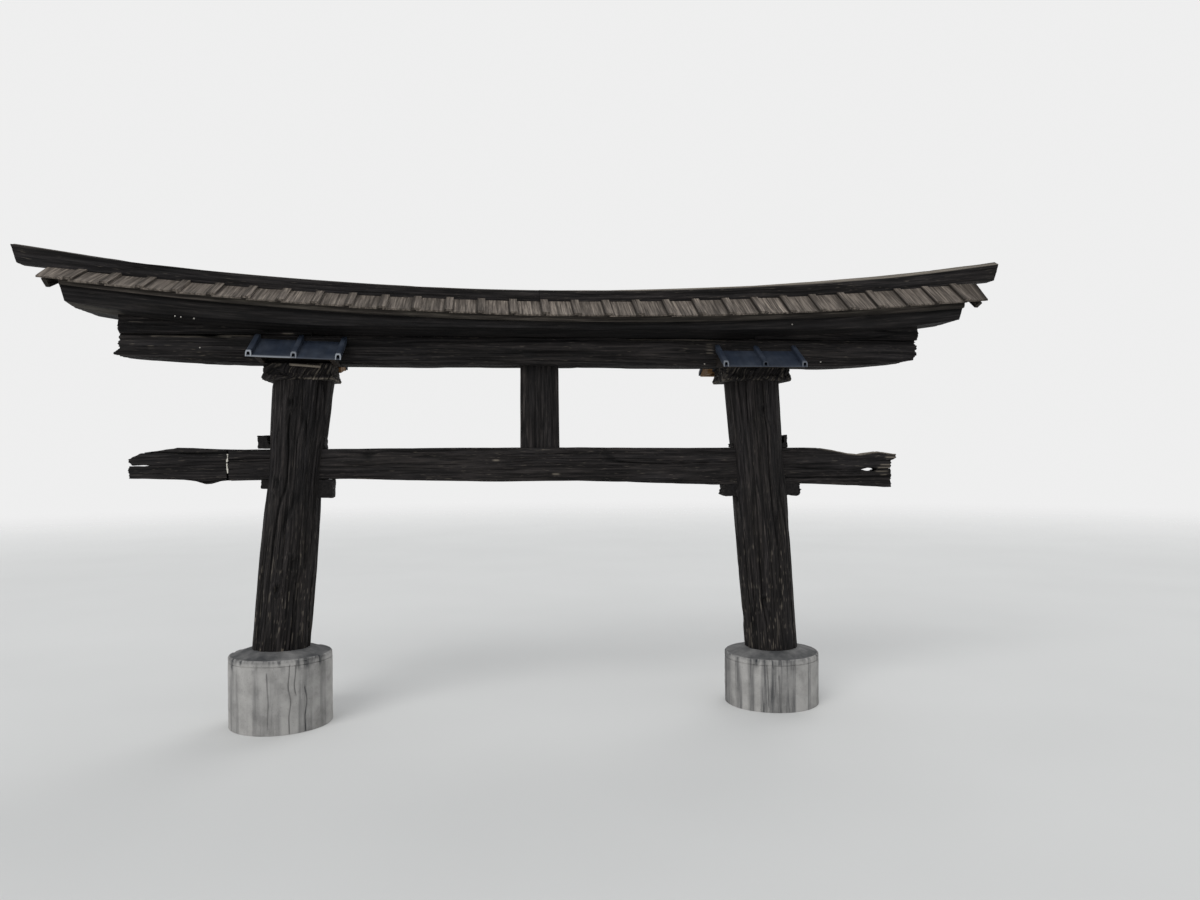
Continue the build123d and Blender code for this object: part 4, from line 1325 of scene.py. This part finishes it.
class GATE_OT_fascias(PieceOperator, bpy.types.Operator):
    """Fascia boards under the roof boards, and the barge boards at the ends"""
    bl_idname = "gate.fascias"
    bl_label = "Fascias and barge boards"

    def build(self, scene):
        sizes = scene.gate_sizes
        thickness, depth = 0.022, 0.032
        inner = sizes.upper_width / 2
        outer = inner + thickness
        edge = sizes.ridge_width / 2
        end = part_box("fascia_front")[1][0]

        def section(x):
            fall = front_fall(x)
            floor = -fall - depth
            slope = lambda y: -fall * (y - edge) / sizes.roof_run
            back = -inner + 0.002
            return eased(
                outline((-outer, floor), (back, floor), (back, slope(inner)), (-outer, slope(outer)))(x),
                0.003, 0.004,
            )

        for face, turned in (("front", False), ("rear", True)):
            ends = (ragged(0.004, 0.2, -0.1, seed=51, sign=-1), ragged(0.004, 0.2, -0.1, seed=53))
            shape = weathered(0.12, 0.3, 0.0015, 1.5, 241)
            shell = swept(np.linspace(-end, end, 380), section, along_x(lintel_top, turned), shape, ends)
            piece_of("fascia_" + face, [shell], "silvered_fascia", "roof_wood")
        self.barge_boards(sizes, edge)

    def barge_boards(self, sizes, edge):
        """Boards under the roof's ends, from the ridge to a nose that is cut back under the eave."""
        depth = 0.063
        eave = edge + sizes.roof_run
        for face, turned in (("front", False), ("rear", True)):
            sign = -1 if turned else 1
            for side, inside, outside in (("left", -2.76, -2.784), ("right", 2.776, 2.8)):
                middle = (inside + outside) / 2
                half = abs(outside - inside) / 2
                fall = float(front_fall(middle))

                def place(p, middle=middle, sign=sign, fall=fall):
                    slope = (fall + 0.012) * (p[:, 0] - edge) / sizes.roof_run
                    z = lintel_top(middle) + 0.004 - slope + p[:, 2]
                    return np.stack([sign * (middle + p[:, 1]), -sign * p[:, 0], z], -1)

                section = lambda y: eased(rectangle(-half, -depth, half, 0)(y), 0.002, 0.006)
                nose = lambda u, v: 0.93 * np.minimum(0, v + 0.004)
                shape = weathered(0.1, 0.25, 0.001, 1, 245)
                board = swept(np.linspace(edge, eave - 0.001, 40), section, place, shape, (None, nose))
                hand = side if not turned else {"left": "right", "right": "left"}[side]
                name = f"barge_board_{face}_{hand}"
                piece_of(name, [board], "silvered_fascia", "roof_wood")


class GATE_OT_roof_boards(PieceOperator, bpy.types.Operator):
    """Roof boards and the battens that cover their joints, on both twisted slopes"""
    bl_idname = "gate.roof_boards"
    bl_label = "Roof boards"

    def build(self, scene):
        sizes, roof = scene.gate_sizes, scene.roof_sizes
        edge = sizes.ridge_width / 2
        joints = roof.first_joint + roof.pitch * np.arange(-roof.joints, roof.joints + 1)
        tree = laid_boards_tree()

        def layout(starts, stops, lift, thickness, below, raked, seed):
            """Points and attributes of boards between starts and stops, on the front slope."""
            random = np.random.default_rng(seed)
            keys = ("point", "turn", "size", "down", "up", "tone", "rake", "hand", "dirt")
            data = {key: [] for key in keys}
            last = len(starts) - 1
            for i, (a, b) in enumerate(zip(starts, stops)):
                x = (a + b) / 2
                fall = float(front_fall(x)) + roof.sag * (0.65 - 0.35 * x / roof.left_half)
                slope = math.hypot(sizes.roof_run, fall)
                down = Vector((0, -sizes.roof_run, -fall)) / slope
                rise = float(lintel_top(x + 0.05) - lintel_top(x - 0.05)) / 0.1
                across = Vector((1, 0, rise)).normalized()
                up = across.cross(-down).normalized()
                across = (-down).cross(up)
                wear = random.uniform(-1, 1, 4)
                size_along = slope + below + 0.003 * wear[0]
                start = Vector((x, -edge, float(lintel_top(x)) + 0.4 * roof.sag))
                centre = start + down * (size_along / 2) + up * (lift + thickness / 2 + 0.0012 * wear[1])
                turn = Matrix((across, -down, up)).transposed()
                turn = turn @ Matrix.Rotation(0.008 * wear[2], 3, "Z")
                turn = turn @ Matrix.Rotation(0.012 * wear[3], 3, "Y")
                hand = (-1 if i == 0 else 1 if i == last else 0) if raked else 0
                rake = roof.left_rake if hand < 0 else roof.right_rake
                data["point"].append(centre)
                data["turn"].append(turn.to_euler())
                data["size"].append((b - a, size_along, thickness))
                data["down"].append(down)
                data["up"].append(up)
                data["tone"].append(2.0 if hand > 0 else random.uniform(0, 1))
                data["rake"].append(across * (-hand * rake))
                data["hand"].append(hand)
                # Which side of a board or a batten takes the painted shade beside the battens
                data["dirt"].append(1.0 if raked else -0.9)
            return data

        def turned(data):
            half_turn = Matrix.Rotation(math.pi, 3, "Z")
            other = dict(data)
            for key in ("point", "down", "up", "rake"):
                other[key] = [half_turn @ Vector(v) for v in data[key]]
            other["turn"] = [(half_turn @ e.to_matrix()).to_euler() for e in data["turn"]]
            other["tone"] = [abs(1 - t) for t in data["tone"]]
            return other

        gap = 0.002
        starts = np.concatenate([[-roof.left_half], joints + gap])
        stops = np.concatenate([joints - gap, [roof.right_half]])
        boards = layout(starts, stops, roof.bed, roof.board, 0.006, True, 7)
        half = roof.batten_width / 2
        over = roof.bed + roof.board - 0.0005
        covers = layout(joints - half, joints + half, over, roof.batten, 0.008, False, 9)
        for face, laid in (("front", dict), ("rear", turned)):
            for name, data, rows in (("roof_boards", boards, 17), ("roof_battens", covers, 4)):
                attributes = laid(data)
                points = attributes.pop("point")
                values = {
                    "Rows across": rows, "Rows along": 14, "Worn end": 0.006, "Warp": 0.004,
                    "Material": finish("silvered_roof_board"),
                }
                nodes = ["roof_slope_" + face] if name == "roof_boards" else []
                grown(f"{name}_{face}", tree, points, values, "roof_wood", nodes, **attributes)


class GATE_OT_ridge(PieceOperator, bpy.types.Operator):
    """Two ridge timbers with roof-shaped tops and slanted, chamfered ends"""
    bl_idname = "gate.ridge"
    bl_label = "Ridge"

    def build(self, scene):
        sizes = scene.gate_sizes
        half = sizes.ridge_width / 2
        base = sizes.joint + sizes.upper_height
        floor_line = lambda x: lintel_top(x) + board_rise()
        height = 0.09
        reach = sizes.ridge_half + 0.008
        for side, sign, low_crest, high_crest in (("left", -1, 0.013, 0.014), ("right", 1, 0.016, 0.03)):

            def shoulder(x):
                """Height over the roof, which grows a little towards the ridge's tip."""
                tip = 0.012 * smooth(np.abs(x), 2.2, 3.03)
                curve = arc(np.clip(x, -reach, reach), sizes.ridge_half, sizes.ridge_rise)
                return base + height + tip + curve - floor_line(x)

            crest = lambda x: low_crest + (high_crest - low_crest) * smooth(np.abs(x), 0.3, 2.6)
            top = float(shoulder(sizes.ridge_half)) + high_crest

            def section(x):
                h = shoulder(x)
                corners = (
                    (-half, 0.001), (0.4 * half, 0.001), (half, 0.014), (half, h), (0, h + crest(x)),
                    (-half, h),
                )
                return eased(outline(*corners)(x), 0.004, 0.006)

            def end(u, v):
                inset = 0.31 * (top - v) + 1.3 * np.maximum(0, 0.006 - v)
                return -sign * inset + ragged(0.0015, seed=61)(u, v)

            stations = np.linspace(sign * 0.001, sign * reach, 300)
            middle = ragged(0.001, seed=63)

            # Painted highlight: a pale strip along the crest, full on the right ridge and weaker towards the
            # left ridge's end
            def bare(p):
                over = p[:, 2] - shoulder(np.clip(p[:, 0], -3.03, 3.03))
                crest_highlight = smooth(over, -0.004, 0.004)
                share = smooth(p[:, 0], -0.9, -0.6)
                share = share if sign > 0 else 0.35 + 0.4 * share
                return crest_highlight * share * 0.75

            shape = weathered(0.3, 0.45, 0.002, 2.0, 251 + sign)
            shell = swept(stations, section, along_x(floor_line), shape, (middle, end), bare, shift=(3, 0, 0))
            piece_of("ridge_" + side, [shell], "old_cedar_beam", "old_timber")


class GATE_OT_hoods(PieceOperator, bpy.types.Operator):
    """Folded sheet metal hoods with three seam caps each, on wooden rails and brackets"""
    bl_idname = "gate.hoods"
    bl_label = "Hoods"

    def build(self, scene):
        sizes, hood = scene.gate_sizes, scene.hood_sizes
        back = 0.022 - sizes.log_radius
        rate = hood.fall / (hood.reach - sizes.log_radius)
        seam_gap = (hood.width - hood.seam_width) / 2
        # Strength of the painted highlight on each front seam cap's end, for each hood
        seam_end_highlight = {"left": (0.75, 0.4, 0.65), "right": (0.35, 0.0, 0.2)}
        for side, inset, eave_up, tilt in (("left", 0.04, 0.019, 2), ("right", 0.01, -0.017, 0)):
            head = PILLARS[side][1]
            centre = head - math.copysign(0.003, head)
            eave = sizes.log_bottom + eave_up
            for face, mirror in (("front", 1), ("rear", -1)):

                # The photograph shows the left rear bearer's end without metal, so its hood is shorter
                cut = 0.055 if (side, face) == ("left", "rear") else 0.0

                def placed(p, turn=math.radians(tilt)):
                    x, z = p[:, 0], p[:, 2] - eave
                    across = centre + x * math.cos(turn) + z * math.sin(turn)
                    height = eave - x * math.sin(turn) + z * math.cos(turn)
                    return np.stack([across, mirror * p[:, 1], height], -1)

                t = hood.sheet
                slope_y = np.linspace(back, -hood.reach, 16)
                upper = [(y, eave + rate * (y + hood.reach)) for y in slope_y]
                lip = [
                    (-hood.reach - 0.0015, eave - 0.002), (-hood.reach - 0.002, eave - hood.lip),
                    (-hood.reach + t - 0.001, eave - hood.lip - 0.001),
                ]
                lower = [(y + (t if i == 0 else 0), z - t * 1.2) for i, (y, z) in enumerate(upper[::-1])]
                profile = upper + lip + lower

                def sheet_section(x):
                    ring = np.broadcast_to(np.array(profile), (len(x), len(profile), 2)).copy()
                    share = np.abs(x[:, None]) % seam_gap / seam_gap
                    out = np.clip((back - ring[..., 0]) / (hood.reach + back), 0, 1)
                    ring[..., 1] -= hood.pan * np.sin(math.pi * share) * (0.3 + 0.7 * out)
                    return ring

                # Painted highlight: a pale line along the eave, on the left half of the left hoods
                def eave_highlight(p):
                    near = smooth(-p[:, 1], hood.reach - 0.004, hood.reach)
                    return 0.5 * near * smooth(-p[:, 0], -0.02, 0.02) * (side == "left")

                stations = np.linspace(-hood.width / 2, hood.width / 2 - cut, 61)
                sheet = swept(stations, sheet_section, placed, bare=eave_highlight, caps=())
                piece_of(f"hood_sheet_{face}_{side}", [sheet], "painted_steel_sheet", "hood_metal", sharp=40)

                half, high = hood.seam_width / 2, hood.seam_height
                profile_u = [
                    (-half, -0.004), (-half, high * 0.55), (-half * 0.86, high * 0.88), (-half * 0.55, high)
                ]
                profile_u += [(-u, v) for u, v in profile_u[::-1]]
                caps = []
                for i in range(3):
                    middle = (i - 1) * seam_gap - cut * (i / 2)

                    def seam_place(p, middle=middle):
                        y = -p[:, 0]
                        z = eave + rate * (y + hood.reach) + p[:, 2]
                        return placed(np.stack([middle + p[:, 1], y, z], -1))

                    # Painted highlight at the cap's end by the eave, on the front hoods only
                    def rim(p, share=seam_end_highlight[side][i] * (face == "front")):
                        return share * smooth(p[:, 0], hood.reach - 0.006, hood.reach - 0.001)

                    def folded(y):
                        """The cap's wall, with its edge folded in at the eave."""
                        wall = 0.0016 + 0.0055 * smooth(y, hood.reach - 0.009, hood.reach - 0.003)
                        inner = [
                            (u * (1 - wall / half), v if v < 0 else v - wall) for u, v in profile_u[::-1]
                        ]
                        return outline(*(profile_u + inner))(y)

                    near_eave = hood.reach - np.array([0.006, 0.003, -0.003])
                    stations = np.append(np.linspace(-back, hood.reach - 0.009, 22), near_eave)
                    caps.append(swept(stations, folded, seam_place, bare=rim, caps=()))
                piece_of(f"hood_seams_{face}_{side}", caps, "painted_steel_sheet", "hood_metal", sharp=35)

                def bar(start, stop, corners, seed):
                    section = lambda x: eased(outline(*corners)(x), 0.002, 0.006)
                    stations = np.linspace(start, stop, max(8, int((stop - start) / 0.006)))
                    shape = weathered(0.05, 0.12, 0.0008, 0.4, seed)
                    return swept(stations, section, placed, shape, shift=(seed, 0, 0))

                # In front the bearers are shallow and lie hidden up under the sheet
                low = sizes.log_bottom - (0.027 if face == "rear" else 0.008)
                under = lambda y: eave - 0.003 + rate * (y + hood.reach)
                front = -hood.reach + 0.004
                rail_back = front + 0.036
                foot = under(front) - (0.012 if face == "rear" else 0.006)
                span = hood.width / 2 - (0.01 if cut else inset)
                clear = hood.pan + 0.002
                roof = lambda y: under(y) - clear
                rail = [(front, foot), (rail_back, foot), (rail_back, roof(rail_back)), (front, roof(front))]
                inner = rail_back - 0.002
                bracket = [(inner, foot), (back, low), (back, roof(back)), (inner, roof(rail_back))]
                bars = [
                    bar(-span, span - cut, rail, 3),
                    bar(-span, 0.03 - span, bracket, 5),
                    bar(span - cut - 0.03, span - cut, bracket, 6),
                ]
                # The front bearers take the darkened copy of the new wood as painted shade
                look = "sawn_new_cedar" if face == "rear" else "aged_hood_frame"
                piece_of(f"hood_frame_{face}_{side}", bars, look, "new_wood")


class GATE_OT_nails(PieceOperator, bpy.types.Operator):
    """Nail heads in the two lintels"""
    bl_idname = "gate.nails"
    bl_label = "Nails"

    def build(self, scene):
        places = [
            (1.027, -0.108, 2.146), (1.779, -0.117, 2.162), (-1.977, -0.13, 2.223), (1.557, -0.221, 2.383),
            (-2.084, -0.221, 2.391), (-2.052, -0.221, 2.386), (-1.981, -0.221, 2.378),
        ]
        values = {"Sides": 10, "Material": finish("zinc_nail")}
        turn = np.zeros((len(places), 3))
        size = np.tile((0.0045, 0.003, 0.0045), (len(places), 1))
        grown("nail_heads", nails_tree(), places, values, "hood_metal", turn=turn, size=size)


class GATE_OT_stage(PieceOperator, bpy.types.Operator):
    """Camera at the photograph's angle, soft light and a pale floor"""
    bl_idname = "gate.stage"
    bl_label = "Stage"

    def build(self, scene):
        yaw, pitch, roll = (math.radians(a) for a in CAMERA_TURN)
        ahead = Vector((math.sin(yaw) * math.cos(pitch), math.cos(yaw) * math.cos(pitch), math.sin(pitch)))
        right = Vector((math.cos(yaw), -math.sin(yaw), 0))
        up = right.cross(ahead)
        across = right * math.cos(roll) + up * math.sin(roll)
        above = up * math.cos(roll) - right * math.sin(roll)
        lens = bpy.data.cameras.new("camera")
        lens.sensor_width = 36
        lens.lens = FOCAL_PIXELS / PHOTO_PIXELS * lens.sensor_width
        camera = bpy.data.objects.new("camera", lens)
        scene.collection.objects.link(camera)
        turn = Matrix((across, above, -ahead)).transposed().to_4x4()
        camera.matrix_world = Matrix.Translation(CAMERA_PLACE) @ turn
        scene.camera = camera
        self.floor(scene)
        self.lights(scene)
        scene.view_settings.view_transform = "Standard"

    def floor(self, scene):
        radius, sides = 60, 96
        mesh = bpy.data.meshes.new("floor")
        rim = [(radius * math.cos(a), radius * math.sin(a), -0.001) for a in full_turn(sides)]
        mesh.from_pydata(rim, [], [list(range(sides))])
        floor = bpy.data.objects.new("floor", mesh)
        scene.collection.objects.link(floor)
        material, tree, shader = new_finish("pale_floor")
        place = add(tree, "ShaderNodeTexCoord").outputs["Object"]
        soft = cloudy(tree, place, 0.6, 2.0)
        base = tuple(scene.gate_colours.floor)
        tone = ramp(tree, soft, (0.3, scaled(base, 0.97)), (0.7, base))
        fill(tree, shader, {"Base Color": tone, "Roughness": 0.9, "Specular IOR Level": 0.1})
        # The floor runs out into the backdrop between 9 and 26 m from the gate
        away = add(tree, "ShaderNodeVectorMath", {0: place}, operation="LENGTH").outputs["Value"]
        reach = {"Value": away, "From Min": 9.0, "From Max": 26.0}
        fade = add(tree, "ShaderNodeMapRange", reach, interpolation_type="SMOOTHSTEP").outputs[0]
        clear = add(tree, "ShaderNodeBsdfTransparent").outputs[0]
        both = add(tree, "ShaderNodeMixShader", {0: fade, 1: shader.outputs["BSDF"], 2: clear}).outputs[0]
        output = next(node for node in tree.nodes if node.type == "OUTPUT_MATERIAL")
        tree.links.new(both, output.inputs["Surface"])
        mesh.materials.append(material)

    def lights(self, scene):
        world = bpy.data.worlds.new("studio")
        scene.world = world
        world.use_nodes = True
        tree = world.node_tree
        tree.nodes.clear()
        path = add(tree, "ShaderNodeLightPath")
        seen = maths(tree, "MAXIMUM", path.outputs["Is Camera Ray"], path.outputs["Is Glossy Ray"])
        seen = maths(tree, "MAXIMUM", seen, path.outputs["Is Transmission Ray"])
        lit = add(tree, "ShaderNodeBackground", {"Color": (0.95, 0.97, 1.0, 1), "Strength": 0.62})
        shown = add(tree, "ShaderNodeBackground", {"Color": (0.86, 0.86, 0.86, 1), "Strength": 1.0})
        mix = add(tree, "ShaderNodeMixShader", {0: seen, 1: lit.outputs[0], 2: shown.outputs[0]})
        add(tree, "ShaderNodeOutputWorld", {"Surface": mix.outputs[0]})
        # Wide, soft suns, so that the light is even over the whole floor
        for name, way, strength in (("key", (0.55, 0.75, -0.75), 1.15), ("rear", (-0.5, -0.8, -0.8), 0.45)):
            lamp = bpy.data.lights.new(name, "SUN")
            lamp.angle = math.radians(35)
            lamp.energy = strength
            light = bpy.data.objects.new(name, lamp)
            scene.collection.objects.link(light)
            light.matrix_world = Vector(way).to_track_quat("-Z", "Y").to_matrix().to_4x4()


class GATE_PT_panel(bpy.types.Panel):
    """Lists the gate's pieces and sizes"""
    bl_idname = "GATE_PT_panel"
    bl_label = "Shrine gate"
    bl_space_type = "VIEW_3D"
    bl_region_type = "UI"
    bl_category = "Shrine gate"

    def draw(self, context):
        for group in ("gate_sizes", "roof_sizes", "hood_sizes", "gate_colours"):
            values = getattr(context.scene, group)
            box = self.layout.box()
            for key in values.__annotations__:
                box.prop(values, key)
        for operator in OPERATORS:
            self.layout.operator(operator.bl_idname)


OPERATORS = (
    GATE_OT_stage, GATE_OT_plinths, GATE_OT_pillars, GATE_OT_cap_blocks, GATE_OT_tie_beam,
    GATE_OT_wedges, GATE_OT_strut, GATE_OT_lower_lintel, GATE_OT_upper_lintel, GATE_OT_fascias,
    GATE_OT_roof_boards, GATE_OT_ridge, GATE_OT_hoods, GATE_OT_nails,
)
GROUPS = {
    "gate_sizes": GateSizes, "roof_sizes": RoofSizes, "hood_sizes": HoodSizes, "gate_colours": GateColours
}


def register():
    for cls in (*GROUPS.values(), *OPERATORS, GATE_PT_panel):
        bpy.utils.register_class(cls)
    for name, group in GROUPS.items():
        setattr(bpy.types.Scene, name, PointerProperty(type=group))


def unregister():
    for name in GROUPS:
        delattr(bpy.types.Scene, name)
    for cls in reversed((*GROUPS.values(), *OPERATORS, GATE_PT_panel)):
        bpy.utils.unregister_class(cls)


def main():
    register()
    for operator in OPERATORS:
        group, name = operator.bl_idname.split(".")
        getattr(getattr(bpy.ops, group), name)()
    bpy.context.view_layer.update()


if __name__ == "__main__":
    main()
